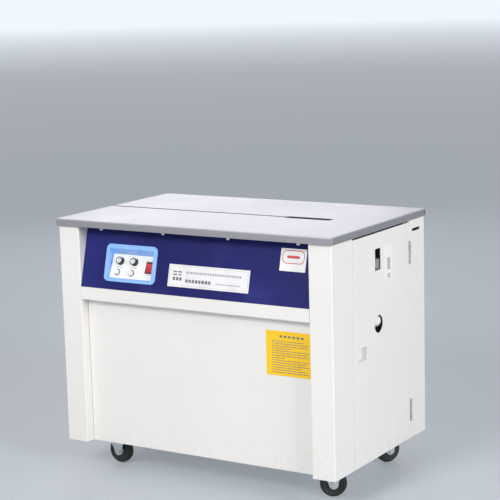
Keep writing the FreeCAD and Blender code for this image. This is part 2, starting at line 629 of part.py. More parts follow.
def side_door():
    """Folded door with a window, a round peep hole and a boxed-in finger pull."""
    path = [(JAMB_X, "door_front"), (CABINET_X, "door_front"), (CABINET_X, "door_rear"),
            (JAMB_X, "door_rear")]
    leaf = folded("XY_Plane", path, "door_top - skirt_bottom", "skirt_bottom")
    wall = (f"{CABINET_X} - 2 * steel", f"{CABINET_X} + steel")
    inside = f"{CABINET_X} - steel"
    holes = [box(wall, ("window_front", "window_rear"), ("window_bottom", "window_top")),
             rod("X", (wall[0], "peep_y", "peep_z"), "peep_radius", "3 * steel"),
             box(wall, ("pull_front", "pull_rear"), ("pull_bottom", "pull_top"))]
    notches = [hinge_notch(z, -1) for z in ("upper_hinge_z", "lower_hinge_z")]
    cup = box((f"{inside} - pull_depth", inside), ("pull_front - steel", "pull_rear + steel"),
              ("pull_bottom - steel", "pull_top + steel"))
    hollow = box((f"{inside} - pull_depth + steel", inside), ("pull_front", "pull_rear"),
                 ("pull_bottom", "pull_top"))
    node("side_door", joined([cut(leaf, holes + notches), cut(cup, [hollow])]))


def hinges():
    """Two barrel hinges: the column's leaves hold the pins, the door's middle knuckles turn."""
    axis_y = "(door_rear + door_gap / 2)"
    inside = f"({CABINET_X} - steel)"
    knuckle = "(hinge_length / 3)"
    fixed = []
    moving = []
    for middle in ("upper_hinge_z", "lower_hinge_z"):
        bottom = f"({middle} - hinge_length / 2)"
        leaf_x = (f"{inside} - steel", inside)
        bridge_x = (f"{inside} - steel", "hinge_axis_x")
        pin = rod("Z", ("hinge_axis_x", axis_y, bottom), "hinge_pin_radius", "hinge_length")
        barrels = [rod("Z", ("hinge_axis_x", axis_y, start), "hinge_barrel_radius",
                       f"{knuckle} - knuckle_gap")
                   for start in (bottom, f"{bottom} + 2 * {knuckle} + knuckle_gap")]
        webs = [box(bridge_x, (axis_y, f"{axis_y} + hinge_barrel_radius"),
                    (start, f"{start} + {knuckle} - knuckle_gap"))
                for start in (bottom, f"{bottom} + 2 * {knuckle} + knuckle_gap")]
        plate = box(leaf_x, (f"{axis_y} + steel + door_gap", f"{axis_y} + hinge_leaf"),
                    (bottom, f"{bottom} + hinge_length"))
        arms = [box(leaf_x, (axis_y, f"{axis_y} + hinge_leaf"),
                    (start, f"{start} + {knuckle} - knuckle_gap"))
                for start in (bottom, f"{bottom} + 2 * {knuckle} + knuckle_gap")]
        fixed.append(joined([pin, plate] + barrels + webs + arms))
        start = f"{bottom} + {knuckle}"
        barrel = rod("Z", ("hinge_axis_x", axis_y, start), "hinge_barrel_radius", knuckle)
        web = box(bridge_x, (f"{axis_y} - hinge_barrel_radius", axis_y),
                  (start, f"{start} + {knuckle}"))
        arm = box(leaf_x, (f"{axis_y} - hinge_leaf", axis_y), (start, f"{start} + {knuckle}"))
        bore = rod("Z", ("hinge_axis_x", axis_y, start), "hinge_pin_radius + running_fit", knuckle)
        moving.append(cut(joined([barrel, web, arm]), [bore]))
    node("hinge_fixed_leaves", group(fixed))
    node("hinge_door_leaves", group(moving))


def labels():
    """Thin plates and stickers, all generic: on the panel, the lower front and the door."""
    for label, left, length, bottom, tall in (
            ("nameplate", "plate_left", "plate_length", "plate_bottom", "plate_tall"),
            ("inspection_label", "mark_left", "mark_length", "mark_bottom", "mark_tall")):
        plate = on_panel(cut_block((left, f"{left} + {length}"), ("-label_thickness", "0"),
                                   (bottom, f"{bottom} + {tall}")))
        node(label, plate)
    node("notice_label", box(("notice_left", "notice_left + notice_length"),
                             (f"{PANEL_Y} - label_thickness", PANEL_Y),
                             ("notice_bottom", "notice_bottom + notice_tall")))
    node("door_label", box((CABINET_X, f"{CABINET_X} + label_thickness"),
                           ("door_label_front", "door_label_front + door_label_length"),
                           ("door_label_bottom", "door_label_bottom + door_label_tall")))


# ---------------------------------------------------------------- control panel

def on_panel(item):
    """Stands a piece drawn flat (X across, Z up, -Y outwards) on the sloping panel."""
    turn(item, Vector(1, 0, 0), "-panel_tilt")
    return place(item, "0", FRONT_Y, "rail_top")


LEAN = "(panel_tilt + face_tilt)"


def face_point(across, height="0", depth="0"):
    """A place on the dial face: across from its middle, up from its foot, in from its surface."""
    foot_y = f"{FRONT_Y} + {FACE_V} * sin(panel_tilt) + face_depth * cos(panel_tilt)"
    foot_z = f"rail_top + {FACE_V} * cos(panel_tilt) - face_depth * sin(panel_tilt)"
    return (f"bezel_x + {across}", f"{foot_y} + {height} * sin{LEAN} + {depth} * cos{LEAN}",
            f"{foot_z} + {height} * cos{LEAN} - {depth} * sin{LEAN}")


def on_face(item, across):
    """Lays a piece drawn flat (X across, Z up, -Y outwards) on the dial face."""
    turn(item, Vector(1, 0, 0), f"-{LEAN}")
    return place(item, *face_point(across))


def cut_block(x, y, z):
    """A block as a body, so that it can be turned about its own origin."""
    body = new_body()
    pad(body, "XY_Plane", rectangle(x, y), f"({z[1]}) - ({z[0]})", z[0])
    return body


def control_panel():
    """The sloping instrument panel, folded back at its top, with the bezel's cut-out."""
    foot = "steel * tan(panel_tilt)"
    path = [("panel_top_fold", "panel_slope"), ("0", "panel_slope"), ("0", foot)]
    panel = folded("YZ_Plane", path, f"2 * {COLUMN_X}", f"-{COLUMN_X}")
    well = rectangle(cup_span("recess_length", "bezel_x", "hole_clearance"), cup_rise("hole_clearance"))
    pocket(panel, "XZ_Plane", well, "4 * steel", both_ways=True)
    node("control_panel", on_panel(panel))


def cup_span(length, middle, margin):
    return (f"{middle} - {length} / 2 - cup_wall - {margin}",
            f"{middle} + {length} / 2 + cup_wall + {margin}")


def cup_rise(margin):
    return (f"recess_bottom - cup_wall - {margin}",
            f"recess_bottom + recess_height + cup_wall + {margin}")


def control_bezel():
    """Moulded frame with a dished well whose floor leans back under the dial face."""
    body = new_body()
    pad(body, "XZ_Plane", rectangle(("-bezel_length / 2", "bezel_length / 2"),
                                    ("bezel_bottom", "bezel_bottom + bezel_height")), "bezel_proud")
    round_edges(body, "bezel_corner", lambda edge: runs_along(edge, "y"))
    front = -value("bezel_proud")
    round_edges(body, "bezel_proud / 2", lambda edge: abs(edge.BoundBox.YMax - front) < TOUCH)
    pad(body, "XZ_Plane", rectangle(cup_span("recess_length", "0", "0"), cup_rise("0")),
        "cup_depth", reverse=True)
    floor = "(face_depth + face_thickness / cos(face_tilt))"
    low = "(recess_bottom + cup_wall)"
    well = [("-2 * bezel_proud", "recess_bottom"), (floor, "recess_bottom"), (floor, low),
            (f"{floor} + face_height * sin(face_tilt)", f"{low} + face_height * cos(face_tilt)"),
            ("-bezel_proud", "recess_bottom + recess_height"),
            ("-2 * bezel_proud", "recess_bottom + recess_height")]
    pocket(body, "YZ_Plane", well, "recess_length", both_ways=True)
    place(body, "bezel_x", "0", "0")
    document.recompute()
    turn(body, Vector(1, 0, 0), "-panel_tilt")
    place(body, "bezel_x", FRONT_Y, "rail_top")
    tools = []
    for column in ("left_column", "right_column"):
        tools.append(on_face_hole(column, "knob_height", "knob_shaft_radius + shaft_room"))
        tools.append(on_face_hole(f"{column} + button_shift", "button_height",
                                  "button_radius + sliding_fit"))
    tools.append(rocker_hole())
    node("control_bezel", cut(body, tools))


def on_face_hole(column, height, radius):
    """A hole square to the dial face, right through it and the moulding behind."""
    body = turned([("0", "-2 * cup_depth"), (radius, "-2 * cup_depth"), (radius, "cup_depth"),
                   ("0", "cup_depth")])
    return face_outward(body, column, height)


def rocker_hole():
    across = ("-rocker_length / 2 - rocker_clearance / 2",
              "rocker_length / 2 + rocker_clearance / 2")
    tall = ("rocker_height - rocker_tall / 2 - rocker_clearance",
            "rocker_height + rocker_tall / 2 + rocker_clearance")
    return on_face(cut_block(across, ("-cup_depth", "cup_depth"), tall), "rocker_x")


def control_face():
    """White dial plate, drilled for the knobs, the buttons and the rocker."""
    plate = on_face(cut_block(("-face_length / 2", "face_length / 2"), ("0", "face_thickness"),
                              ("0", "face_height")), "0")
    tools = [rocker_hole()]
    for column in ("left_column", "right_column"):
        tools.append(on_face_hole(column, "knob_height", "knob_shaft_radius + running_fit"))
        tools.append(on_face_hole(f"{column} + button_shift", "button_height",
                                  "button_radius + sliding_fit"))
    node("control_face", cut(plate, tools))


def knobs_and_buttons():
    """Two pointer knobs on their shafts and two push buttons under them."""
    for side in ("left", "right"):
        knob = turned([("0", "-shaft_depth"), ("knob_shaft_radius", "-shaft_depth"),
                       ("knob_shaft_radius", "knob_gap"),
                       ("knob_radius", "knob_gap"), ("knob_radius - knob_taper",
                                                     "knob_length"), ("0", "knob_length")])
        node(f"knob_{side}", face_outward(knob, f"{side}_column", "knob_height"))
        button = turned([("0", "-button_depth"), ("button_radius", "-button_depth"),
                         ("button_radius",
                          "button_proud - button_chamfer"), ("button_radius - button_chamfer",
                                                             "button_proud"),
                         ("0", "button_proud")])
        node(f"button_{side}",
             face_outward(button, f"{side}_column + button_shift", "button_height"))


def face_outward(body, column, height):
    """Stands a piece turned about Z on the dial face with its top outwards."""
    turn(body, Vector(1, 0, 0), f"90 - {LEAN}")
    return place(body, *face_point(column, height))


def rocker_switch():
    """Power rocker, dished in two slopes and drawn about its pivot; it rests with its foot pressed."""
    body = new_body()
    front = "-rocker_proud - rocker_pivot"
    outline = [(front, "-rocker_tall / 2"), ("-rocker_proud / 3 - rocker_pivot", "0"),
               (front, "rocker_tall / 2"),
               ("rocker_depth - rocker_pivot", "rocker_tall / 2"), ("rocker_depth - rocker_pivot",
                                                                    "-rocker_tall / 2")]
    pad(body, "YZ_Plane", outline, "rocker_length", "-rocker_length / 2")
    turn(body, Vector(1, 0, 0), f"rocker_throw / 2 - {LEAN}")
    node("rocker_switch", place(body, *face_point("rocker_x", "rocker_height", "rocker_pivot")))


# ---------------------------------------------------------------- castors

CASTERS = (("front_left", "-caster_x", "-caster_y"), ("front_right", "caster_x", "-caster_y"),
           ("rear_left", "-caster_x", "caster_y"), ("rear_right", "caster_x", "caster_y"))


def caster_bolt_places():
    return [(f"{x} + {across} * bolt_x / 2", f"{y} + {along} * bolt_y / 2")
            for name, x, y in CASTERS for across in (-1, 1) for along in (-1, 1)]


def caster_plates():
    """Four mounting plates, each with its pressed swivel race."""
    plates = []
    race_bottom = "(crown_bottom + crown_thickness + race_gap)"
    for name, x, y in CASTERS:
        plate = box((f"{x} - plate_x / 2", f"{x} + plate_x / 2"),
                    (f"{y} - plate_y / 2", f"{y} + plate_y / 2"),
                    ("base_underside - plate_steel", "base_underside"))
        race = rod("Z", (x, y, race_bottom), "race_radius", f"base_underside - {race_bottom}")
        tools = [rod("Z", (x, y, race_bottom), "kingpin_radius + running_fit",
                     f"base_underside - {race_bottom}")]
        for across in (-1, 1):
            for along in (-1, 1):
                spot = (f"{x} + {across} * bolt_x / 2", f"{y} + {along} * bolt_y / 2",
                        "base_underside - plate_steel")
                tools.append(rod("Z", spot, "bolt_radius + hole_clearance", "plate_steel"))
        plates.append(cut(joined([plate, race]), tools))
    node("caster_plates", group(plates))


def caster_bolts():
    """Sixteen bolts with their nuts, through the plates and the cabinet floor."""
    bolts = []
    for x, y in caster_bolt_places():
        under = "base_underside - plate_steel"
        head = hexagon((x, y, f"{under} - bolt_head_height"), "bolt_head_radius",
                       "bolt_head_height")
        shank = rod("Z", (x, y, under), "bolt_radius",
                    f"{BASE_TOP} + bolt_head_height - {under} + bolt_end")
        nut = hexagon((x, y, BASE_TOP), "bolt_head_radius", "bolt_head_height")
        bolts.append(joined([head, shank, nut]))
    node("caster_bolts", group(bolts))


def caster(name, x, y):
    """A braked castor: the fork with its axle, the wheel and the brake pedal."""
    crown_top = "(crown_bottom + crown_thickness)"
    leg_inner = "(wheel_width / 2 + fork_gap)"
    leg_outer = f"({leg_inner} + fork_steel)"
    turn_size = f"turn_{name}"

    crown = rod("Z", ("0", "0", "crown_bottom"), "crown_radius", "crown_thickness")
    kingpin = rod("Z", ("0", "0", crown_top), "kingpin_radius",
                  f"base_underside - {crown_top} - race_gap")
    solids = [crown, kingpin]
    leg_outline = [("-crown_radius / 2", crown_top),
                   ("pedal_pivot_x + pedal_boss_radius", crown_top),
                   ("pedal_pivot_x + pedal_boss_radius", "pedal_pivot_z - 2 * pedal_boss_radius"),
                   ("trail + leg_end_radius", "wheel_radius"), ("trail - leg_end_radius",
                                                                "wheel_radius")]
    for start in (leg_inner, f"-{leg_outer}"):
        leg = new_body()
        pad(leg, "XZ_Plane", leg_outline, "fork_steel", f"-({start})", reverse=True)
        solids.append(leg)
        solids.append(rod("Y", ("trail", start, "wheel_radius"), "leg_end_radius", "fork_steel"))
    solids.append(rod("Y", ("trail", f"-{leg_outer} - axle_head_height", "wheel_radius"),
                      "axle_radius", f"2 * {leg_outer} + 2 * axle_head_height"))
    for start in (leg_outer, f"-{leg_outer} - axle_head_height"):
        solids.append(rod("Y", ("trail", start, "wheel_radius"), "axle_head_radius",
                          "axle_head_height"))
    solids.append(rod("Y", ("pedal_pivot_x", f"-{leg_outer}", "pedal_pivot_z"), "pedal_pin_radius",
                      f"2 * {leg_outer}"))
    fork = joined(solids)
    node(f"caster_fork_{name}", swivelled(fork, x, y, turn_size))

    rim = "wheel_radius"
    half = "wheel_width / 2"
    wheel = turned([("axle_radius + running_fit", "hub_recess"), ("hub_radius", "hub_recess"),
                    ("hub_radius + hub_lip", "0"), (f"{rim} - wheel_shoulder", "0"), (rim,
                                                                                      "wheel_shoulder"),
                    (rim, "wheel_width - wheel_shoulder"), (f"{rim} - wheel_shoulder",
                                                            "wheel_width"),
                    ("hub_radius + hub_lip", "wheel_width"), ("hub_radius",
                                                              "wheel_width - hub_recess"),
                    ("axle_radius + running_fit", "wheel_width - hub_recess")])
    aimed(wheel, "Y", ("trail", f"-{half}", "wheel_radius"))
    node(f"caster_wheel_{name}", swivelled(joined([wheel, bearing_sleeve()]), x, y, turn_size))

    boss = rod("Y", ("pedal_pivot_x", "-pedal_width / 2", "pedal_pivot_z"), "pedal_boss_radius",
               "pedal_width")
    lever = box(("pedal_pivot_x", "pedal_pivot_x + pedal_length"),
                ("-pedal_width / 2", "pedal_width / 2"),
                ("pedal_pivot_z", "pedal_pivot_z + pedal_thickness"))
    bore = rod("Y", ("pedal_pivot_x", "-pedal_width / 2", "pedal_pivot_z"),
               "pedal_pin_radius + running_fit", "pedal_width")
    node(f"brake_pedal_{name}", swivelled(cut(joined([boss, lever]), [bore]), x, y, turn_size))


def bearing_sleeve():
    """Hub sleeve of a castor wheel, bored for the axle."""
    reach = "(wheel_width - 2 * hub_recess)"
    start = ("trail", f"-{reach} / 2 - sleeve_proud", "wheel_radius")
    sleeve = rod("Y", start, "axle_radius + sleeve_wall", f"{reach} + 2 * sleeve_proud")
    bore = rod("Y", start, "axle_radius + running_fit", f"{reach} + 2 * sleeve_proud")
    return cut(sleeve, [bore])


def swivelled(item, x, y, angle):
    """Turns a castor piece about its swivel and stands it in its corner."""
    turn(item, Vector(0, 0, 1), angle)
    return place(item, x, y, "0")


# ---------------------------------------------------------------- reel and guide arm

def reel():
    """Empty drop-in reel: a core tube, two flanges and the shaft it turns on."""
    half = "(reel_width / 2)"
    overhang = "(bracket_gap + 2 * bracket_steel)"
    inner = "(core_radius - core_wall)"
    profile = [("0", f"-{half} - {overhang}"), ("reel_shaft_radius", f"-{half} - {overhang}"),
               ("reel_shaft_radius", f"{half} - reel_flange"), (inner, f"{half} - reel_flange"),
               (inner, f"-{half}"), ("reel_radius", f"-{half}"), ("reel_radius",
                                                                  f"-{half} + reel_flange"),
               ("core_radius", f"-{half} + reel_flange"), ("core_radius", f"{half} - reel_flange"),
               ("reel_radius", f"{half} - reel_flange"), ("reel_radius", half),
               ("reel_shaft_radius", half), ("reel_shaft_radius", f"{half} + {overhang}"),
               ("0", f"{half} + {overhang}")]
    node("strap_reel", aimed(turned(profile), "Y", ("reel_x", "slot_y", "reel_z")))


def reel_brackets():
    """Two slotted uprights on the cabinet floor; the reel's shaft drops into them."""
    half = "(reel_width / 2)"
    brackets = []
    room = "(reel_shaft_radius + sliding_fit)"
    for plate_y, foot_y in (((f"slot_y - {half} - bracket_gap - bracket_steel",
                              f"slot_y - {half} - bracket_gap"),
                             (f"slot_y - {half} - bracket_gap - bracket_foot",
                              f"slot_y - {half} - bracket_gap")),
                            ((f"slot_y + {half} + bracket_gap",
                              f"slot_y + {half} + bracket_gap + bracket_steel"),
                             (f"slot_y + {half} + bracket_gap",
                              f"slot_y + {half} + bracket_gap + bracket_foot"))):
        across = ("reel_x - bracket_length / 2", "reel_x + bracket_length / 2")
        upright = box(across, plate_y, (BASE_TOP, "reel_z + bracket_rise"))
        foot = box(across, foot_y, (BASE_TOP, f"{BASE_TOP} + bracket_steel"))
        seat = rod("Y", ("reel_x", plate_y[0], "reel_z"), room, "bracket_steel")
        mouth = box((f"reel_x - {room}", f"reel_x + {room}"), plate_y,
                    ("reel_z", "reel_z + bracket_rise + bracket_steel"))
        brackets.append(cut(joined([upright, foot]), [seat, mouth]))
    node("reel_brackets", group(brackets))


def guide_arm():
    """Swinging arm with a bored boss and the stub axle of the strap's guide roller."""
    rear = f"({HEAD_REAR_Y} - arm_gap)"
    front = f"({rear} - arm_steel)"
    boss = rod("Y", ("arm_pivot_x", front, "arm_pivot_z"), "arm_boss_radius", "arm_steel")
    eye = rod("Y", ("guide_x", front, "guide_z"), "arm_boss_radius", "arm_steel")
    bar = new_body()
    ends = (("arm_pivot_x", "arm_pivot_z"), ("guide_x", "guide_z"))
    lower = [(f"{x} - arm_half_width", f"{z} - arm_half_width") for x, z in ends]
    upper = [(f"{x} + arm_half_width", f"{z} + arm_half_width") for x, z in reversed(ends)]
    pad(bar, "XZ_Plane", lower + upper, "arm_steel", f"-({front})", reverse=True)
    reach = "(guide_width + 2 * guide_gap + axle_cap)"
    axle = rod("Y", ("guide_x", f"{front} - {reach}", "guide_z"), "guide_axle_radius", reach)
    cap = rod("Y", ("guide_x", f"{front} - {reach}", "guide_z"), "guide_axle_radius + axle_cap",
              "axle_cap")
    bore = rod("Y", ("arm_pivot_x", front, "arm_pivot_z"), "arm_pin_radius + running_fit",
               "arm_steel")
    node("guide_arm", cut(joined([boss, eye, bar, axle, cap]), [bore]))
    start = f"({front} - guide_gap - guide_width)"
    roller = turned([("guide_axle_radius + running_fit", "0"), ("guide_radius", "0"),
                     ("guide_radius", "guide_width / 6"), ("guide_radius - guide_waist",
                                                           "guide_width / 3"),
                     ("guide_radius - guide_waist", "2 * guide_width / 3"), ("guide_radius",
                                                                             "5 * guide_width / 6"),
                     ("guide_radius", "guide_width"), ("guide_axle_radius + running_fit",
                                                       "guide_width")])
    node("guide_roller", aimed(roller, "Y", ("guide_x", start, "guide_z")))


# ---------------------------------------------------------------- strapping head and drive

def head_frame():
    """Four head plates, the gripper deck between them and the flanges hung from the rails."""
    front = (f"{HEAD_FRONT_Y} - head_plate", HEAD_FRONT_Y)
    rear = (HEAD_REAR_Y, f"{HEAD_REAR_Y} + head_plate")
    whole_x = ("head_left", "head_right")
    level = ("head_bottom", "head_top")
    inside = (HEAD_FRONT_Y, HEAD_REAR_Y)
    hanger = (HANGER_BOTTOM, LIP_TOP)
    solids = [box(whole_x, front, level), box(whole_x, rear, level),
              box(("head_left", "head_left + head_plate"), inside, ("head_bottom", LIP_TOP)),
              box(("head_right - head_plate", "head_right"), inside, ("head_bottom", LIP_TOP)),
              box(whole_x, inside, ("deck_bottom", "deck_top")),
              box(whole_x, (RAIL_FRONT_Y, front[0]), hanger),
              box(whole_x, (rear[1], RAIL_REAR_Y), hanger),
              box(("head_right", "head_right + lug_width"), rear,
                  ("arm_pivot_z - lug_half_height", "arm_pivot_z + lug_half_height")),
              rod("Y", ("arm_pivot_x", f"{HEAD_REAR_Y} - arm_steel - arm_pin_reach", "arm_pivot_z"),
                  "arm_pin_radius",
                  "arm_steel + arm_pin_reach"),
              rod("X", ("head_right", "tension_y", "tension_z"), "tension_boss_radius",
                  "tension_boss_length")]
    tools = [rod("X", ("head_left", "slot_y", "cam_axis_z"), "cam_shaft_radius + running_fit",
                 "head_right - head_left"),
             rod("X", ("head_right + end_gap", "tension_y", "tension_z"),
                 "tension_shaft_radius + running_fit",
                 "tension_boss_length"),
             rod("Y", ("feed_x", front[0], "feed_z"), "feed_shaft_radius + running_fit",
                 "head_gap + 2 * head_plate"),
             box(("press_x - heater_length / 2 - sliding_fit",
                  "press_x + heater_length / 2 + sliding_fit"),
                 ("heater_front - carrier_depth", f"{RAIL_REAR_Y} - frame_bar"),
                 ("carrier_bottom + press_way", "table_height")),
             box(("press_x - heater_length / 2 - sliding_fit",
                  "press_x + heater_length / 2 + sliding_fit"),
                 rear, ("blade_bottom - blade_room", "table_height"))]
    for middle, length in GRIPPERS.values():
        tools.append(box((f"{middle} - {length} / 2 - sliding_fit",
                          f"{middle} + {length} / 2 + sliding_fit"),
                         ("slot_y - gripper_depth / 2 - sliding_fit",
                          "slot_y + gripper_depth / 2 + sliding_fit"),
                         ("deck_bottom", "deck_top")))
    node("head_frame", cut(joined(solids), tools))


GRIPPERS = {"left_gripper": ("left_gripper_x", "gripper_length"),
            "seal_press": ("press_x", "press_length"),
            "right_gripper": ("right_gripper_x", "gripper_length")}


def grippers():
    """Two strap grippers and the sealing press, each a bar that a cam lifts."""
    for label, (middle, length) in GRIPPERS.items():
        top = "press_top" if label == "seal_press" else "gripper_top"
        node(label, box((f"{middle} - {length} / 2", f"{middle} + {length} / 2"),
                        ("slot_y - gripper_depth / 2",
                         "slot_y + gripper_depth / 2"), ("gripper_bottom", top)))


def camshaft():
    """Shaft with three eccentric cams under the grippers."""
    shaft = rod("X", ("cam_shaft_left", "slot_y", "cam_axis_z"), "cam_shaft_radius",
                "head_right - end_gap - cam_shaft_left")
    cams = [rod("X", (f"{middle} - cam_width / 2", "slot_y", f"cam_axis_z - cam_offset"),
                "cam_radius", "cam_width")
            for middle, length in GRIPPERS.values()]
    node("camshaft", joined([shaft] + cams))


def slide_plate():
    """Black plate under the head opening that the strap is pressed against."""
    node("slide_plate", box(("opening_left - slide_lap", "opening_right + slide_lap"),
                            ("slot_y - slide_depth / 2", "slot_y + slide_depth / 2"),
                            ("slide_bottom", "slide_bottom + slide_thickness")))


def heater():
    """Heater blade on its insulated carrier, parked behind the press."""
    across = ("press_x - heater_length / 2", "press_x + heater_length / 2")
    blade = box(("press_x - press_length / 2", "press_x + press_length / 2"),
                ("heater_front + blade_setback", "heater_rear"),
                ("blade_bottom", "blade_bottom + blade_thickness"))
    carrier = box(across, ("heater_rear - carrier_depth", "heater_rear"),
                  ("carrier_bottom", "blade_bottom"))
    node("heater_blade", joined([blade, carrier]))


def feed():
    """Feed roller on its shaft between the head plates, and the small motor that turns it."""
    start = f"({HEAD_FRONT_Y} - head_plate)"
    motor_y = f"({HEAD_REAR_Y} + head_plate)"
    shaft = rod("Y", ("feed_x", start, "feed_z"), "feed_shaft_radius",
                "head_gap + 2 * head_plate + shaft_socket - shaft_end")
    roller = rod("Y", ("feed_x", "slot_y - feed_length / 2", "feed_z"), "feed_radius",
                 "feed_length")
    node("feed_roller", joined([shaft, roller]))
    case = rod("Y", ("feed_x", motor_y, "feed_z"), "feed_motor_radius", "feed_motor_length")
    socket = rod("Y", ("feed_x", motor_y, "feed_z"), "feed_shaft_radius + running_fit",
                 "shaft_socket")
    node("feed_motor", cut(case, [socket]))


def gearbox():
    """Cast worm-drive housing, hung by its neck and a plate from the cross rails."""
    body_y = ("slot_y - gearbox_depth / 2", "slot_y + gearbox_depth / 2")
    neck_x = ("gearbox_left + neck_inset", "gearbox_right - neck_inset")
    case = box(("gearbox_left", "gearbox_right"), body_y, ("gearbox_bottom", "gearbox_top"))
    neck = box(neck_x, ("slot_y - neck_depth / 2", "slot_y + neck_depth / 2"),
               ("gearbox_top", HANGER_BOTTOM))
    plate = box(neck_x, (RAIL_FRONT_Y, RAIL_REAR_Y), (HANGER_BOTTOM, LIP_TOP))
    output = rod("X", ("cam_shaft_left - end_gap", "slot_y", "cam_axis_z"),
                 "cam_shaft_radius + running_fit",
                 "gearbox_right - cam_shaft_left + end_gap")
    drive = rod("X", ("gearbox_left", "slot_y", "input_z"), "input_shaft_radius + running_fit",
                "2 * shaft_socket")
    node("gearbox", cut(joined([case, neck, plate]), [output, drive]))


def motor():
    """Main motor with its terminal neck and hanging plate."""
    case = rod("X", ("motor_left", "motor_y", "motor_z"), "motor_radius",
               "motor_right - motor_left")
    span = ("motor_left + neck_inset * 2", "motor_right - neck_inset * 2")
    neck = box(span, ("motor_y - motor_neck_depth / 2", "motor_y + motor_neck_depth / 2"),
               ("motor_z", HANGER_BOTTOM))
    plate = box(span, (RAIL_FRONT_Y, "motor_y + motor_plate_reach"), (HANGER_BOTTOM, LIP_TOP))
    socket = rod("X", ("motor_right - shaft_socket", "motor_y", "motor_z"),
                 "motor_shaft_radius + running_fit",
                 "shaft_socket")
    node("drive_motor", cut(joined([case, neck, plate]), [socket]))


def pulley(radius, shaft_radius, shaft_low, shaft_high):
    """A grooved pulley on its shaft; heights run along the shaft from the pulley's left face."""
    edge = "pulley_width"
    body = turned([("0", shaft_low), (shaft_radius, shaft_low), (shaft_radius, "0"), (radius, "0"),
                   (radius, f"{edge} / 6"), (f"{radius} - groove_depth", f"{edge} / 4"),
                   (f"{radius} - groove_depth", f"3 * {edge} / 4"), (radius,
                                                                     f"5 * {edge} / 6"), (radius,
                                                                                          edge),
                   (shaft_radius, edge), (shaft_radius, shaft_high), ("0", shaft_high)])
    return body


def pulleys():
    big = pulley("big_pulley_radius", "input_shaft_radius", "-end_gap",
                 "gearbox_left - pulley_left + 2 * shaft_socket - shaft_end")
    node("gearbox_pulley", aimed(big, "X", ("pulley_left", "slot_y", "input_z")))
    small = pulley("small_pulley_radius", "motor_shaft_radius",
                   "motor_right - pulley_left - shaft_socket + shaft_end",
                   "pulley_width + end_gap")
    node("motor_pulley", aimed(small, "X", ("pulley_left", "motor_y", "motor_z")))


def belt_loop(growth):
    """The face inside a belt run at a distance outside both pulley grooves."""
    big = value(f"big_pulley_radius - groove_depth + belt_gap + {growth}")
    small = value(f"small_pulley_radius - groove_depth + belt_gap + {growth}")
    low = Vector(0, value("slot_y"), value("input_z"))
    high = Vector(0, value("motor_y"), value("motor_z"))
    heading = math.atan2(high.z - low.z, high.y - low.y)
    spread = math.acos((big - small) / low.distanceToPoint(high))

    def rim_point(centre, radius, angle):
        return centre + Vector(0, math.cos(angle), math.sin(angle)) * radius

    big_ends = [rim_point(low, big, heading + spread), rim_point(low, big, heading - spread)]
    small_ends = [rim_point(high, small, heading - spread),
                  rim_point(high, small, heading + spread)]
    edges = [Part.Arc(big_ends[0], rim_point(low, big, heading + math.pi), big_ends[1]).toShape(),
             Part.LineSegment(big_ends[1], small_ends[0]).toShape(),
             Part.Arc(small_ends[0], rim_point(high, small, heading), small_ends[1]).toShape(),
             Part.LineSegment(small_ends[1], big_ends[0]).toShape()]
    return Part.Face(Part.Wire(edges))


def drive_belt():
    """Belt round both pulleys, with arcs that follow the grooves."""
    width = Vector(value("belt_width"), 0, 0)
    loop = belt_loop("belt_thickness").extrude(width).cut(belt_loop("0").extrude(width))
    item = document.addObject("Part::Feature", "belt")
    item.Shape = loop
    node("drive_belt", place(item, "pulley_left + pulley_width / 2 - belt_width / 2"))


def tension_knob():
    """Strap-tension knob on its long shaft, reached through the door's window."""
    shaft_left = "(head_right + 2 * end_gap)"
    shaft = rod("X", (shaft_left, "tension_y", "tension_z"), "tension_shaft_radius",
                f"tension_knob_left - {shaft_left}")
    knob = rod("X", ("tension_knob_left", "tension_y", "tension_z"), "tension_knob_radius",
               "tension_knob_length")
    node("tension_knob", joined([shaft, knob]))


def control_box():
    """Electrical enclosure on the left wall, a tray with a lid turned over its edge."""
    wall = f"({CABINET_X} - steel)"
    body = new_body()
    pad(body, "XY_Plane",
        rectangle((f"-{wall}", f"-{wall} + control_box_depth"),
                  ("control_box_front", "control_box_rear")),
        "control_box_top - control_box_bottom", "control_box_bottom")
    round_edges(body, "bend_radius",
                lambda edge: runs_along(edge, "z") and edge.BoundBox.XMin > TOUCH - value(wall))
    node("control_box", body)


def check_and_write():
    document.recompute()
    for item in document.Objects:
        if "Invalid" in item.State or "Error" in item.State:
            raise RuntimeError(f"{item.Label} did not build: {item.State}")
    for item in parts:
        if item.Shape.isNull() or not item.Shape.isValid() or not item.Shape.Solids:
            raise RuntimeError(f"{item.Label} has no sound solid")
    os.makedirs("parts", exist_ok=True)
    for item in parts:
        item.Shape.exportStep(f"parts/{item.Label}.step")
    print(len(parts), "parts written")


base_plate()
left_side_shell()
right_columns()
front_panels()
rear_panel()
power_inlet()
top_frame()
table_top()
table_screws()
side_door()
hinges()
labels()
control_panel()
control_bezel()
control_face()
knobs_and_buttons()
rocker_switch()
caster_plates()
caster_bolts()
for name, x, y in CASTERS:
    caster(name, x, y)
reel()
reel_brackets()
guide_arm()
head_frame()
grippers()
camshaft()
slide_plate()
heater()
feed()
gearbox()
motor()
pulleys()
drive_belt()
tension_knob()
control_box()
check_and_write()
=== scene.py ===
"""A semi-automatic strapping machine on castors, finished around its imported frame."""
import json
import math

import bmesh
import bpy
from mathutils import Matrix, Vector


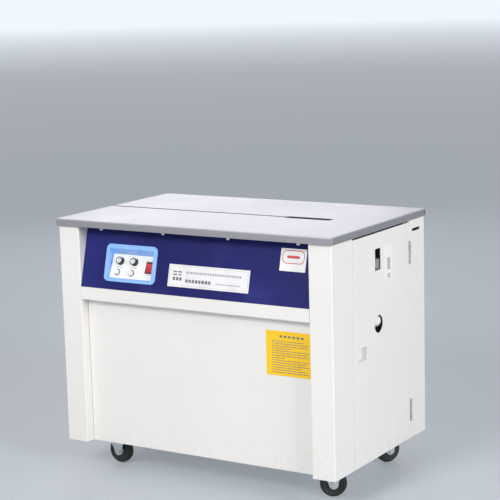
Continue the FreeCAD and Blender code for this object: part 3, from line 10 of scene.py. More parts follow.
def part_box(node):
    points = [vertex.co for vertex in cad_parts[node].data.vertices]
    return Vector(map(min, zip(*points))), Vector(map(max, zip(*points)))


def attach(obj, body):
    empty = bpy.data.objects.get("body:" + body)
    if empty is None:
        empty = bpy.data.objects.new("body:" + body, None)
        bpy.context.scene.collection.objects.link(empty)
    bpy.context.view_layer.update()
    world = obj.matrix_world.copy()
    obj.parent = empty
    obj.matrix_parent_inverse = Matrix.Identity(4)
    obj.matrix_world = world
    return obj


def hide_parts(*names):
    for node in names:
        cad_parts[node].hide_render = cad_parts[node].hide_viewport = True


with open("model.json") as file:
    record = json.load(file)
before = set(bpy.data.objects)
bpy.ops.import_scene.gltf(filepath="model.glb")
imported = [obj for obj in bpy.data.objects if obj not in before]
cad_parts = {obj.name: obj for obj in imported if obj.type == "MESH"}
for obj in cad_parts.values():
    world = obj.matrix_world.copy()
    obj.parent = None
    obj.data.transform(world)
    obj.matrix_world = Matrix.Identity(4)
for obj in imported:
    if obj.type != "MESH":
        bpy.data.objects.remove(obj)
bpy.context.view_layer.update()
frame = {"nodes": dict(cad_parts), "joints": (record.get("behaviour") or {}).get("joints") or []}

cad = frame["nodes"]

# ---- Camera -------------------------------------------------------------------------------------
# A long lens off the right front corner, above the height of the table and looking slightly
# down, so that the front, the service door and the table top are all in view.
CAMERA_PLACE = Vector((2.34807, -3.74090, 1.39556))
CAMERA_TURN = math.radians(31.81)
CAMERA_TILT = math.radians(80.20)
CAMERA_ROLL = math.radians(-1.514)
LENS = 112.03

bpy.ops.object.select_all(action="DESELECT")
bpy.ops.object.camera_add(location=CAMERA_PLACE)
camera = bpy.context.object
camera.name = "camera"
camera.matrix_world = (Matrix.Translation(CAMERA_PLACE) @ Matrix.Rotation(CAMERA_TURN, 4, "Z")
                       @ Matrix.Rotation(CAMERA_TILT, 4, "X") @ Matrix.Rotation(CAMERA_ROLL, 4, "Z"))
camera.data.lens = LENS
camera.data.sensor_width = 36.0
bpy.context.scene.camera = camera
bpy.context.scene.view_settings.view_transform = "Standard"

# ---- Light and floor ----------------------------------------------------------------------------
# A pale studio: a soft key lamp high in front, a fill on the right and a weak wash from the back
# left. The plain floor carries painted light and shade: its colour is greyest at the machine as
# painted shade, and it glows as painted light, brighter with distance, out to a bright horizon
# under a grey sky.
MACHINE_MIDDLE = Vector((0.0, 0.0, 0.45))
SKY_HORIZON = (0.95, 0.98, 1.0)
SKY_HIGH = (0.42, 0.43, 0.445)
FLOOR_HALF = 400.0
FLOOR_DROP = 0.0005
FLOOR_SPREAD = (0.02, 0.02, 0.02)
FLOOR_FAR = (0.96, 0.98, 1.0)
FLOOR_NEAR_SHADE = (0.36, 0.385, 0.42)
FLOOR_BETWEEN = (0.36, 0.39, 0.43, 1.0)
FLOOR_PAINTED_GLOW = (0.86, 0.93, 1.0, 1.0)


def add_node(material, kind, **inputs):
    """A shader node with its inputs set to numbers, or joined to other nodes' outputs."""
    made = material.node_tree.nodes.new(kind)
    for socket, fed in inputs.items():
        socket = made.inputs[socket.replace("_", " ")]
        if isinstance(fed, bpy.types.NodeSocket):
            material.node_tree.links.new(fed, socket)
        else:
            socket.default_value = fed
    return made


def join(material, output, socket):
    """Joins an output to one of the shader's own sockets."""
    shader = material.node_tree.nodes["Principled BSDF"]
    material.node_tree.links.new(output, shader.inputs[socket])


def tinted(material, factor, dark, light, low=0.3, high=0.7):
    """A colour that goes from dark to light as the factor goes from low to high."""
    ramp = add_node(material, "ShaderNodeValToRGB", Fac=factor)
    ramp.color_ramp.elements[0].position = low
    ramp.color_ramp.elements[0].color = (*dark, 1.0)
    ramp.color_ramp.elements[1].position = high
    ramp.color_ramp.elements[1].color = (*light, 1.0)
    return ramp.outputs["Color"]


def new_finish(name, roughness, metallic=0.0):
    """A finish with its roughness and metal set on the shader."""
    material = bpy.data.materials.new(name)
    material.use_nodes = True
    shader = material.node_tree.nodes["Principled BSDF"]
    shader.inputs["Roughness"].default_value = roughness
    shader.inputs["Metallic"].default_value = metallic
    return material


def place_on(material, squeeze=(1.0, 1.0, 1.0)):
    """Where a point lies on the piece, in metres, drawn out along an axis by a small squeeze."""
    place = add_node(material, "ShaderNodeTexCoord")
    return add_node(material, "ShaderNodeMapping", Vector=place.outputs["Object"],
                    Scale=squeeze).outputs["Vector"]


def ranged(material, factor, low, high, start=0.3, end=0.7):
    """A number that goes from low to high as the factor goes from start to end."""
    return add_node(material, "ShaderNodeMapRange", Value=factor, From_Min=start, From_Max=end,
                    To_Min=low, To_Max=high).outputs["Result"]


def aimed_lamp(name, place, width, depth, power, colour):
    """A soft square lamp turned towards the middle of the machine."""
    bpy.ops.object.light_add(type="AREA", location=place)
    lamp = bpy.context.object
    lamp.name = name
    lamp.rotation_euler = (MACHINE_MIDDLE - Vector(place)).to_track_quat("-Z", "Y").to_euler()
    lamp.data.shape = "RECTANGLE"
    lamp.data.size = width
    lamp.data.size_y = depth
    lamp.data.energy = power
    lamp.data.color = colour


sky = bpy.data.worlds.new("studio_sky")
bpy.context.scene.world = sky
sky.use_nodes = True
backdrop = sky.node_tree.nodes["Background"]
sky_place = add_node(sky, "ShaderNodeTexCoord")
sky_height = add_node(sky, "ShaderNodeSeparateXYZ", Vector=sky_place.outputs["Generated"])
sky_colour = tinted(sky, sky_height.outputs["Z"], SKY_HORIZON, SKY_HIGH, 0.0, 0.14)
sky.node_tree.links.new(sky_colour, backdrop.inputs["Color"])
backdrop.inputs["Strength"].default_value = 0.92

aimed_lamp("key_lamp", (-0.3, -4.2, 2.9), 1.2, 1.2, 122.0, (1.0, 0.975, 0.94))
aimed_lamp("fill_lamp", (4.4, -1.4, 2.2), 1.6, 1.6, 128.0, (1.0, 0.99, 0.98))
aimed_lamp("back_lamp", (-2.4, 3.5, 2.2), 2.4, 1.6, 21.0, (0.97, 0.98, 1.0))

bpy.ops.object.select_all(action="DESELECT")
bpy.ops.mesh.primitive_plane_add(size=2.0 * FLOOR_HALF, location=(0.0, 0.0, -FLOOR_DROP))
floor = bpy.context.object
floor.name = "floor"
bpy.ops.object.transform_apply(location=True, rotation=True, scale=True)
floor_paint = new_finish("pale_floor", 0.55)
floor_reach = add_node(floor_paint, "ShaderNodeTexGradient", Vector=place_on(floor_paint, FLOOR_SPREAD))
floor_reach.gradient_type = "SPHERICAL"
# Painted shade and light: the floor's colour is greyest at the machine and paler with distance.
floor_painted_tone = tinted(floor_paint, floor_reach.outputs["Fac"], FLOOR_FAR, FLOOR_NEAR_SHADE, 0.0, 0.97)
floor_middle = floor_paint.node_tree.nodes["Color Ramp"].color_ramp.elements.new(0.88)
floor_middle.color = FLOOR_BETWEEN
join(floor_paint, floor_painted_tone, "Base Color")
floor_paint.node_tree.nodes["Principled BSDF"].inputs["Emission Color"].default_value = FLOOR_PAINTED_GLOW
# Painted light: the floor glows, weakly at the machine and more strongly with distance.
floor_painted_glow = ranged(floor_paint, floor_reach.outputs["Fac"], 0.58, 0.20, 0.05, 0.60)
join(floor_paint, floor_painted_glow, "Emission Strength")
floor.data.materials.append(floor_paint)

# ---- Painted sheet-steel cabinet ----------------------------------------------------------------
# Folded steel sheet, powder coated off-white inside and out. The coat has a fine orange peel,
# drifts a little in tone from panel to panel, and turns a little darker and warmer in specks near
# the floor. Its edges are lighter in patches, partly as wear and partly as a painted highlight.
PAINT_LIGHT = (0.82, 0.805, 0.785)
PAINT_DARK = (0.78, 0.765, 0.745)
PAINT_LOW_TINT = (0.72, 0.68, 0.65)


def clouds(material, scale, detail=2.0, squeeze=(1.0, 1.0, 1.0)):
    """Soft noise from 0 to 1, with scale features to the metre."""
    return add_node(material, "ShaderNodeTexNoise", Vector=place_on(material, squeeze),
                    Scale=scale, Detail=detail).outputs["Fac"]


def height_on(material):
    """Height above the floor, in metres."""
    place = add_node(material, "ShaderNodeTexCoord")
    return add_node(material, "ShaderNodeSeparateXYZ", Vector=place.outputs["Object"]).outputs["Z"]


def laid_over(material, colour, cover, amount):
    """One colour laid over another, by an amount from 0 to 1."""
    return add_node(material, "ShaderNodeMixRGB", Fac=amount, Color1=colour, Color2=cover).outputs["Color"]


def times(material, first, second):
    """The product of two factors."""
    made = material.node_tree.nodes.new("ShaderNodeMath")
    made.operation = "MULTIPLY"
    for socket, fed in zip(made.inputs, (first, second)):
        if isinstance(fed, bpy.types.NodeSocket):
            material.node_tree.links.new(fed, socket)
        else:
            socket.default_value = fed
    return made.outputs["Value"]


def relief(material, factor, height, base=None):
    """Bumps of a real height in metres, on top of the surface or of another relief."""
    bump = add_node(material, "ShaderNodeBump", Height=factor, Distance=height, Strength=1.0)
    if base is not None:
        material.node_tree.links.new(base, bump.inputs["Normal"])
    return bump.outputs["Normal"]


def softened(material, radius):
    """Rounds the look of every corner, as a bent or moulded edge catches the light."""
    bevel = add_node(material, "ShaderNodeBevel", Radius=radius)
    bevel.samples = 4
    return bevel.outputs["Normal"]


def corner_nearness(material, rounded, low=0.02, high=0.25):
    """How near a point is to a corner, from 0 to 1, by how far its rounded direction turns."""
    flat = add_node(material, "ShaderNodeNewGeometry")
    facing = material.node_tree.nodes.new("ShaderNodeVectorMath")
    facing.operation = "DOT_PRODUCT"
    material.node_tree.links.new(rounded, facing.inputs[0])
    material.node_tree.links.new(flat.outputs["Normal"], facing.inputs[1])
    return ranged(material, facing.outputs["Value"], 1.0, 0.0, 1.0 - high, 1.0 - low)


def painted(name, light, dark, low_tint, roughness, peel=0.00002, edge_wear_and_highlight_tint=None):
    """Powder coat: drifting tone, orange peel, a speckled tint low down, and edges lighter in patches, as
    wear and as a painted highlight.
    """
    paint = new_finish(name, roughness)
    colour = tinted(paint, clouds(paint, 2.2, 3.0), dark, light)
    # The low tint is laid on in specks, most near the floor.
    low_down = ranged(paint, height_on(paint), 0.35, 0.0, 0.07, 0.26)
    specks = ranged(paint, clouds(paint, 60.0, 5.0), 0.0, 1.0, 0.45, 0.70)
    colour = laid_over(paint, colour, (*low_tint, 1.0), times(paint, low_down, specks))
    rounded = softened(paint, 0.0012)
    # Edges lighter in patches: partly wear, and partly a painted highlight along the bends.
    edge_patches = (clouds(paint, 90.0, 3.0), 0.0, 0.5, 0.45, 0.62)
    edge_wear_and_highlight = times(paint, corner_nearness(paint, rounded), ranged(paint, *edge_patches))
    tint = edge_wear_and_highlight_tint or tuple(min(1.0, 1.08 * part) for part in light)
    join(paint, laid_over(paint, colour, (*tint, 1.0), edge_wear_and_highlight), "Base Color")
    join(paint, ranged(paint, clouds(paint, 14.0, 4.0), roughness - 0.05, roughness + 0.08), "Roughness")
    join(paint, relief(paint, clouds(paint, 700.0, 2.0), peel, rounded), "Normal")
    return paint


def coat(material, *names):
    """Gives a finish to whole nodes of the frame."""
    for name in names:
        mesh = cad[name].data
        mesh.materials.clear()
        mesh.materials.append(material)


white_coat = painted("off_white_powder_coat", PAINT_LIGHT, PAINT_DARK, PAINT_LOW_TINT, 0.42)
coat(white_coat, "left_side_shell", "right_front_column", "right_rear_column", "front_lower_panel",
     "front_rail", "rear_panel", "base_plate", "side_door", "control_box")

# ---- Table top and the frame under it -----------------------------------------------------------
# One sheet of satin stainless, folded down at the rim and hemmed under, with the strap slot cut
# in from the left. The polish runs along the table, and the rim below the top is painted darker as
# painted shade. Square tube, painted dark, carries it.
STEEL_LIGHT = (0.74, 0.72, 0.80)
STEEL_DARK = (0.60, 0.585, 0.655)
RIM_PAINTED_SHADE = (0.44, 0.43, 0.455)
TABLE_TOP_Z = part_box("table_top")[1][2]
RIM_ROUND = 0.0015
FRAME_LIGHT = (0.055, 0.056, 0.060)
FRAME_DARK = (0.035, 0.036, 0.040)
SHOP_DUST = (0.20, 0.19, 0.18)


def brushed(name, light, dark, roughness, along, metallic=1.0, scratch=0.000004):
    """Metal with fine lines along one axis, and a slow drift in tone."""
    metal = new_finish(name, roughness, metallic)
    squeeze = tuple(0.02 if axis == along else 1.0 for axis in "xyz")
    lines = clouds(metal, 900.0, 3.0, squeeze)
    drift = clouds(metal, 2.6, 3.0)
    colour = tinted(metal, drift, dark, light)
    lined = laid_over(metal, colour, (*dark, 1.0), ranged(metal, lines, 0.0, 0.35, 0.35, 0.75))
    join(metal, lined, "Base Color")
    join(metal, ranged(metal, lines, roughness - 0.05, roughness + 0.10), "Roughness")
    join(metal, relief(metal, lines, scratch, softened(metal, RIM_ROUND)), "Normal")
    return metal


def colour_of(material):
    """What feeds a finish's colour now."""
    return material.node_tree.nodes["Principled BSDF"].inputs["Base Color"].links[0].from_socket


table_steel = brushed("satin_stainless", STEEL_LIGHT, STEEL_DARK, 0.40, "x", 0.88)
# Painted shade: the folded-down rim, below the top face, is coloured darker than the top.
rim_shade_mask = ranged(table_steel, height_on(table_steel), 1.0, 0.0, TABLE_TOP_Z - 0.004, TABLE_TOP_Z - 0.001)
rim_painted_shade = laid_over(table_steel, colour_of(table_steel), (*RIM_PAINTED_SHADE, 1.0), rim_shade_mask)
join(table_steel, rim_painted_shade, "Base Color")
coat(table_steel, "table_top")

# Painted near black, which also stands in as painted shade for the dark gap under the table's rim.
frame_paint_and_gap_shade = painted("dark_frame_paint_and_gap_shade", FRAME_LIGHT, FRAME_DARK, SHOP_DUST, 0.45)
coat(frame_paint_and_gap_shade, "top_frame")

# ---- Bright zinc fixings ------------------------------------------------------------------------
# Screws, hinges, castor plates and forks, the reel's uprights, the guide arm, both pulleys and the
# heater blade are bright zinc plated, with the soft grey clouding and patchy gloss of the plating.
ZINC_LIGHT = (0.72, 0.73, 0.74)
ZINC_DARK = (0.50, 0.51, 0.54)


def plated(name, light, dark, roughness):
    """Plated steel: cloudy tone, patchy gloss and rounded corners."""
    plate = new_finish(name, roughness, 0.92)
    patches = clouds(plate, 38.0, 5.0)
    join(plate, tinted(plate, patches, dark, light), "Base Color")
    join(plate, ranged(plate, clouds(plate, 110.0, 4.0), roughness - 0.08, roughness + 0.14), "Roughness")
    join(plate, relief(plate, patches, 0.00005, softened(plate, 0.0006)), "Normal")
    return plate


zinc = plated("bright_zinc", ZINC_LIGHT, ZINC_DARK, 0.30)
coat(zinc, "table_screws", "hinge_fixed_leaves", "hinge_door_leaves", "caster_plates", "caster_bolts",
     "reel_brackets", "guide_arm", "motor_pulley", "gearbox_pulley", "heater_blade")

# ---- Blue control panel -------------------------------------------------------------------------
# A sloping sheet in satin dark blue, with a little mottle in the coat and paler rubbed patches.
BLUE_LIGHT = (0.013, 0.017, 0.170)
BLUE_DARK = (0.007, 0.009, 0.105)
BLUE_RUBBED = (0.036, 0.044, 0.230)

blue_coat = painted("dark_blue_powder_coat", BLUE_LIGHT, BLUE_DARK, BLUE_RUBBED, 0.48, 0.00003, BLUE_RUBBED)
blue_coat.node_tree.nodes["Principled BSDF"].inputs["Specular IOR Level"].default_value = 0.22
rubbed = ranged(blue_coat, clouds(blue_coat, 16.0, 6.0, (0.5, 1.0, 1.0)), 0.0, 0.45, 0.52, 0.80)
join(blue_coat, laid_over(blue_coat, colour_of(blue_coat), (*BLUE_RUBBED, 1.0), rubbed), "Base Color")
coat(blue_coat, "control_panel")

# ---- Moulded bezel ------------------------------------------------------------------------------
# Light blue moulded frame with a deep well, glossy on its rolled edge and satin inside.
BEZEL_LIGHT = (0.290, 0.540, 0.980)
BEZEL_DARK = (0.250, 0.480, 0.930)


def moulded(name, light, dark, roughness, coat_weight=0.3, edge=0.0008):
    """Moulded plastic: near-even colour, fine spark texture, a thin gloss and rounded corners."""
    plastic = new_finish(name, roughness)
    shader = plastic.node_tree.nodes["Principled BSDF"]
    shader.inputs["Coat Weight"].default_value = coat_weight
    shader.inputs["Coat Roughness"].default_value = 0.12
    join(plastic, tinted(plastic, clouds(plastic, 24.0, 4.0), dark, light), "Base Color")
    gloss = ranged(plastic, clouds(plastic, 150.0, 3.0), roughness - 0.06, roughness + 0.08)
    join(plastic, gloss, "Roughness")
    join(plastic, relief(plastic, clouds(plastic, 1600.0, 2.0), 0.00001, softened(plastic, edge)), "Normal")
    return plastic


bezel_plastic = moulded("light_blue_plastic", BEZEL_LIGHT, BEZEL_DARK, 0.30)
coat(bezel_plastic, "control_bezel")

# ---- Dial face ----------------------------------------------------------------------------------
# A thin white plate, screen printed: a ring of ticks round each knob with two short bars under it.
PLATE_WHITE = (0.90, 0.90, 0.89)
PLATE_SHADE = (0.84, 0.84, 0.84)
INK_GREY = (0.16, 0.16, 0.17)
INK_RED = (0.62, 0.05, 0.06)
INK_THICKNESS = 0.00012
TICK_COUNT = 11
TICK_SWEEP = math.radians(270.0)
TICK_RADIUS = 0.0136
FACE_LEAN = math.radians(24.8)
TICK_LINE = 0.0005
TICK_LONG = 0.0026
TICK_SHORT = 0.0017

face_plate = moulded("printed_white_plate", PLATE_WHITE, PLATE_SHADE, 0.38, 0.15, 0.0003)
coat(face_plate, "control_face")


def printed_ink(name, colour):
    """Screen ink: a flat colour broken by small thin spots."""
    ink = new_finish(name, 0.5)
    thin = tuple(min(1.0, part + 0.06) for part in colour)
    join(ink, tinted(ink, clouds(ink, 260.0, 4.0), thin, colour, 0.35, 0.55), "Base Color")
    return ink


grey_ink = printed_ink("grey_ink", INK_GREY)
red_ink = printed_ink("red_ink", INK_RED)


def turns_about(joint):
    """The point that a joint turns about and its axis."""
    for row in frame["joints"]:
        if row["name"] == joint:
            return Vector(row["pos_m"]), Vector(row["axis"])


def finished(piece, name, material, body):
    """Names a piece, fixes its place in its mesh, gives it its finish, and hangs it on a body."""
    piece.name = name
    bpy.ops.object.select_all(action="DESELECT")
    piece.select_set(True)
    bpy.context.view_layer.objects.active = piece
    bpy.ops.object.transform_apply(location=True, rotation=True, scale=True)
    piece.data.materials.clear()
    piece.data.materials.append(material)
    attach(piece, body)
    return piece


def flat_bar(width, height, corner=0.0):
    """One thin printed bar, drawn in XZ with its back at y = 0 and its face outwards at -Y."""
    bpy.ops.object.select_all(action="DESELECT")
    bpy.ops.mesh.primitive_plane_add(size=1.0)
    bar = bpy.context.object
    bar.scale = (width, height, 1.0)
    bar.rotation_euler = (math.radians(90.0), 0.0, 0.0)
    bpy.ops.object.transform_apply(location=True, rotation=True, scale=True)
    bpy.ops.object.mode_set(mode="EDIT")
    bpy.ops.mesh.select_all(action="SELECT")
    if corner:
        bpy.ops.mesh.bevel(offset=corner, segments=3, affect="VERTICES")
    bpy.ops.mesh.extrude_region_move(TRANSFORM_OT_translate={"value": (0.0, -INK_THICKNESS, 0.0)})
    bpy.ops.mesh.select_all(action="SELECT")
    bpy.ops.mesh.normals_make_consistent(inside=False)
    bpy.ops.object.mode_set(mode="OBJECT")
    return bar


def printed(name, drawing, bars, material, body):
    """Prints bars on a face: each is (across, up, width, height, turn), measured on the drawing."""
    made = []
    for across, up, width, height, turn in bars:
        bar = flat_bar(width, height, min(width, height) * 0.3)
        bar.data.transform(drawing @ Matrix.Translation((across, 0.0, up)) @ Matrix.Rotation(turn, 4, "Y"))
        made.append(bar)
    return finished(joined(made), name, material, body)


def joined(pieces):
    """Several pieces as one mesh."""
    bpy.ops.object.select_all(action="DESELECT")
    for piece in pieces:
        piece.select_set(True)
    bpy.context.view_layer.objects.active = pieces[0]
    if len(pieces) > 1:
        bpy.ops.object.join()
    return bpy.context.object


def on_dial_face(joint):
    """A drawing plane on the dial face, its middle at a knob's or the rocker's joint."""
    place = turns_about(joint)[0]
    return Matrix.Translation(place) @ Matrix.Rotation(-FACE_LEAN, 4, "X")


for side in ("left", "right"):
    ticks = []
    for step in range(TICK_COUNT):
        turn = TICK_SWEEP * (step / (TICK_COUNT - 1) - 0.5)
        length = TICK_LONG if step in (0, TICK_COUNT // 2, TICK_COUNT - 1) else TICK_SHORT
        ticks.append((TICK_RADIUS * math.sin(turn), TICK_RADIUS * math.cos(turn), TICK_LINE, length, turn))
    ticks += [(-0.006, -0.0168, 0.007, 0.0016, 0.0), (0.005, -0.0168, 0.009, 0.0016, 0.0)]
    printed(f"dial_ticks_{side}", on_dial_face(f"knob_{side}_turn"), ticks, grey_ink, "root")

# ---- Rocker switch and its surround -------------------------------------------------------------
# A red moulded rocker in a slim black surround that stands a little proud of the dial face, with
# two short red bars printed under it.
ROCKER_PIVOT_DEPTH = 0.004
SURROUND_OUTER = (0.0250, 0.0345)
SURROUND_INNER = (0.0206, 0.0301)
SURROUND_PROUD = 0.0016
SURROUND_BORDER = (SURROUND_OUTER[0] - SURROUND_INNER[0]) / 2.0
CAPTION_BARS = ((-0.004, -0.0205, 0.005, 0.0016, 0.0), (0.004, -0.0205, 0.007, 0.0016, 0.0))
RED_LIGHT = (0.66, 0.035, 0.060)
RED_DARK = (0.50, 0.020, 0.038)

rocker_plastic = moulded("red_plastic", RED_LIGHT, RED_DARK, 0.22, 0.6)
coat(rocker_plastic, "rocker_switch")
black_plastic = moulded("black_plastic", (0.040, 0.040, 0.042), (0.022, 0.022, 0.024), 0.38)
ROCKER_FACE = on_dial_face("rocker_tip") @ Matrix.Translation((0.0, -ROCKER_PIVOT_DEPTH, 0.0))


def faces_picked(piece, wanted):
    """In edit mode, selects just the faces whose middle and direction are wanted."""
    bpy.ops.mesh.select_mode(type="FACE")
    bpy.ops.mesh.select_all(action="DESELECT")
    mesh = bmesh.from_edit_mesh(piece.data)
    for face in mesh.faces:
        if wanted(face.calc_center_median(), face.normal):
            face.select_set(True)
    mesh.select_flush_mode()
    bmesh.update_edit_mesh(piece.data)


def edges_eased(piece, width, segments=2, angle=35.0):
    """Rounds every sharp edge and smooths the curved faces."""
    bpy.ops.object.select_all(action="DESELECT")
    piece.select_set(True)
    bpy.context.view_layer.objects.active = piece
    bevel = piece.modifiers.new("eased", "BEVEL")
    bevel.width = width
    bevel.segments = segments
    bevel.limit_method = "ANGLE"
    bevel.angle_limit = math.radians(angle)
    bpy.ops.object.modifier_apply(modifier=bevel.name)
    bpy.ops.object.shade_smooth_by_angle(angle=math.radians(angle))


def slab(width, height, thickness):
    """A plate drawn in XZ, its back at y = 0 and its face at -Y, still open to shaping."""
    bpy.ops.object.select_all(action="DESELECT")
    bpy.ops.mesh.primitive_cube_add(size=1.0, location=(0.0, -thickness / 2.0, 0.0))
    plate = bpy.context.object
    plate.scale = (width, thickness, height)
    bpy.ops.object.transform_apply(location=True, rotation=True, scale=True)
    return plate


def pierced(piece, border, two_sides):
    """Takes the middle of a plate right through, leaving an even border."""
    bpy.ops.object.select_all(action="DESELECT")
    piece.select_set(True)
    bpy.context.view_layer.objects.active = piece
    bpy.ops.object.mode_set(mode="EDIT")
    faces_picked(piece, two_sides)
    bpy.ops.mesh.inset(thickness=border, use_individual=True)
    bpy.ops.mesh.delete(type="FACE")
    bpy.ops.mesh.select_mode(type="EDGE")
    bpy.ops.mesh.select_all(action="DESELECT")
    bpy.ops.mesh.select_non_manifold()
    bpy.ops.mesh.bridge_edge_loops()
    bpy.ops.mesh.select_all(action="SELECT")
    bpy.ops.mesh.normals_make_consistent(inside=False)
    bpy.ops.object.mode_set(mode="OBJECT")
    return piece


surround = pierced(slab(SURROUND_OUTER[0], SURROUND_OUTER[1], SURROUND_PROUD),
                   SURROUND_BORDER, lambda middle, normal: abs(normal.y) > 0.9)
edges_eased(surround, 0.0005, 3)
surround.data.transform(ROCKER_FACE)
finished(surround, "rocker_surround", black_plastic, "root")
printed("rocker_caption", ROCKER_FACE, CAPTION_BARS, red_ink, "root")

# ---- Pointer knobs ------------------------------------------------------------------------------
# Black moulded knobs with a fluted grip, each with a spun aluminium cap let into its face and a
# short black line on the cap for the pointer.
KNOB_RADIUS = 0.0104
KNOB_FOOT = 0.0010
KNOB_TOP = 0.0121
KNOB_FLUTES = 20
FLUTE_DEPTH = 0.0007
CAP_RADIUS = 0.0080
CAP_HEIGHT = 0.0005
POINTER_SIZE = (0.0012, 0.0062, 0.0003)
POINTER_TURN = math.radians(-35.0)
POINTER_SUNK = 0.0003
POINTER_REACH = 0.0052

cap_aluminium = brushed("spun_aluminium", (0.92, 0.92, 0.93), (0.78, 0.78, 0.80), 0.30, "x", 0.45)


def outward(place, axis):
    """Stands a piece made about Z at a place, with its top along the axis."""
    return Matrix.Translation(place) @ axis.to_track_quat("Z", "Y").to_matrix().to_4x4()


def drum(radius, height, foot, sides):
    """A round blank standing on z = foot."""
    bpy.ops.object.select_all(action="DESELECT")
    bpy.ops.mesh.primitive_cylinder_add(vertices=sides, radius=radius, depth=height,
                                        location=(0.0, 0.0, foot + height / 2.0))
    bpy.ops.object.transform_apply(location=True, rotation=True, scale=True)
    return bpy.context.object


def knob_body():
    """The fluted grip: every other side face is let in, and the top is dished for the cap."""
    grip = drum(KNOB_RADIUS, KNOB_TOP - KNOB_FOOT, KNOB_FOOT, 2 * KNOB_FLUTES)
    pitch = math.pi / KNOB_FLUTES
    bpy.ops.object.mode_set(mode="EDIT")
    faces_picked(grip, lambda middle, normal: abs(normal.z) < 0.1
                 and round(math.atan2(middle.y, middle.x) / pitch - 0.5) % 2 == 0)
    bpy.ops.mesh.inset(thickness=0.0003, depth=-FLUTE_DEPTH, use_individual=True)
    faces_picked(grip, lambda middle, normal: normal.z > 0.9)
    bpy.ops.mesh.inset(thickness=KNOB_RADIUS - CAP_RADIUS - 0.0003)
    bpy.ops.mesh.inset(thickness=0.0002, depth=-0.0007)
    bpy.ops.object.mode_set(mode="OBJECT")
    edges_eased(grip, 0.00035, 2, 40.0)
    return grip


def cap_disc():
    """The cap: a shallow turned disc with a raised rim."""
    cap = drum(CAP_RADIUS, CAP_HEIGHT + 0.0005, KNOB_TOP - 0.0007, 48)
    bpy.ops.object.mode_set(mode="EDIT")
    faces_picked(cap, lambda middle, normal: normal.z > 0.9)
    bpy.ops.mesh.inset(thickness=0.0010)
    bpy.ops.mesh.inset(thickness=0.0005, depth=-0.0002)
    bpy.ops.object.mode_set(mode="OBJECT")
    edges_eased(cap, 0.0002, 2)
    return cap


for side in ("left", "right"):
    place, axis = turns_about(f"knob_{side}_turn")
    seat = outward(place, axis)
    grip = knob_body()
    grip.data.transform(seat)
    finished(grip, f"knob_{side}_grip", black_plastic, f"knob_{side}")
    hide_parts(f"knob_{side}")
    cap = cap_disc()
    cap.data.transform(seat)
    finished(cap, f"knob_{side}_cap", cap_aluminium, f"knob_{side}")
    line = flat_bar(*POINTER_SIZE)
    line.data.transform(on_dial_face(f"knob_{side}_turn") @ Matrix.Rotation(POINTER_TURN, 4, "Y")
                        @ Matrix.Translation((0.0, -KNOB_TOP - CAP_HEIGHT + POINTER_SUNK, POINTER_REACH)))
    finished(line, f"knob_{side}_line", black_plastic, f"knob_{side}")

# ---- Push buttons -------------------------------------------------------------------------------
# Two white push buttons with a slightly dished top, in low black collars; the collars' black also
# stands in, as painted shade, for the shadow in the gap round each button.
BUTTON_RADIUS = 0.0074
BUTTON_PROUD = 0.0050
COLLAR_RADIUS = 0.0096
COLLAR_PROUD = 0.0014
BUTTON_SEAT = 0.0005

white_plastic = moulded("white_plastic", (0.86, 0.86, 0.85), (0.80, 0.80, 0.79), 0.30)


def button_cap():
    """The button: a round cap, dished on top, with its skirt running in behind the face."""
    cap = drum(BUTTON_RADIUS, BUTTON_PROUD + 0.006, -0.006, 40)
    bpy.ops.object.mode_set(mode="EDIT")
    faces_picked(cap, lambda middle, normal: normal.z > 0.9)
    bpy.ops.mesh.inset(thickness=0.0016)
    bpy.ops.mesh.inset(thickness=0.0020, depth=-0.0004)
    bpy.ops.mesh.inset(thickness=0.0018, depth=-0.0002)
    bpy.ops.object.mode_set(mode="OBJECT")
    edges_eased(cap, 0.0005, 3)
    return cap


def collar():
    """The collar: a low ring with a hole through it for the button."""
    ring = pierced(drum(COLLAR_RADIUS, COLLAR_PROUD, 0.0, 48), COLLAR_RADIUS - BUTTON_RADIUS - 0.0004,
                   lambda middle, normal: abs(normal.z) > 0.9)
    edges_eased(ring, 0.0004, 2)
    return ring


for side in ("left", "right"):
    low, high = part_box(f"button_{side}")
    middle = (Vector(low) + Vector(high)) / 2.0
    axis = -Vector(next(row["axis"] for row in frame["joints"] if row["name"] == f"button_{side}_press"))
    face_spot = middle + axis * BUTTON_SEAT
    cap = button_cap()
    cap.data.transform(outward(face_spot, axis))
    finished(cap, f"button_{side}_cap", white_plastic, f"button_{side}")
    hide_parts(f"button_{side}")
    # The black collar is partly painted shade for the gap round the button.
    ring = collar()
    ring.data.transform(outward(face_spot, axis))
    finished(ring, f"button_{side}_collar", black_plastic, "root")

# ---- Nameplate and labels -----------------------------------------------------------------------
# A satin white nameplate with a fine border and plain grey dashes, a white inspection label with
# a red ring round a plain bar, a yellow notice with rows of dashes, and a door label. None of
# them carries lettering or a mark.
PANEL_LEAN = math.radians(14.8)
LABEL_THICKNESS = 0.0006
FACING_RIGHT = math.radians(90.0)
NAMEPLATE_SIZE = (0.2625, 0.062)
RING_SIZE = (0.068, 0.036)
RING_LINE = 0.0021
RING_CORNER = 0.013
RING_UP = 0.008
NOTICE_ENDS = (0.052, 0.060, 0.058, 0.010, 0.060, 0.055, 0.060, -0.010, 0.060, 0.057, 0.060, 0.035,
               0.058, 0.060)
NOTICE_DASHES = (0.0060, 0.0038, 0.0075, 0.0046, 0.0052)
NOTICE_TOP = 0.0335
NOTICE_PITCH = 0.0066

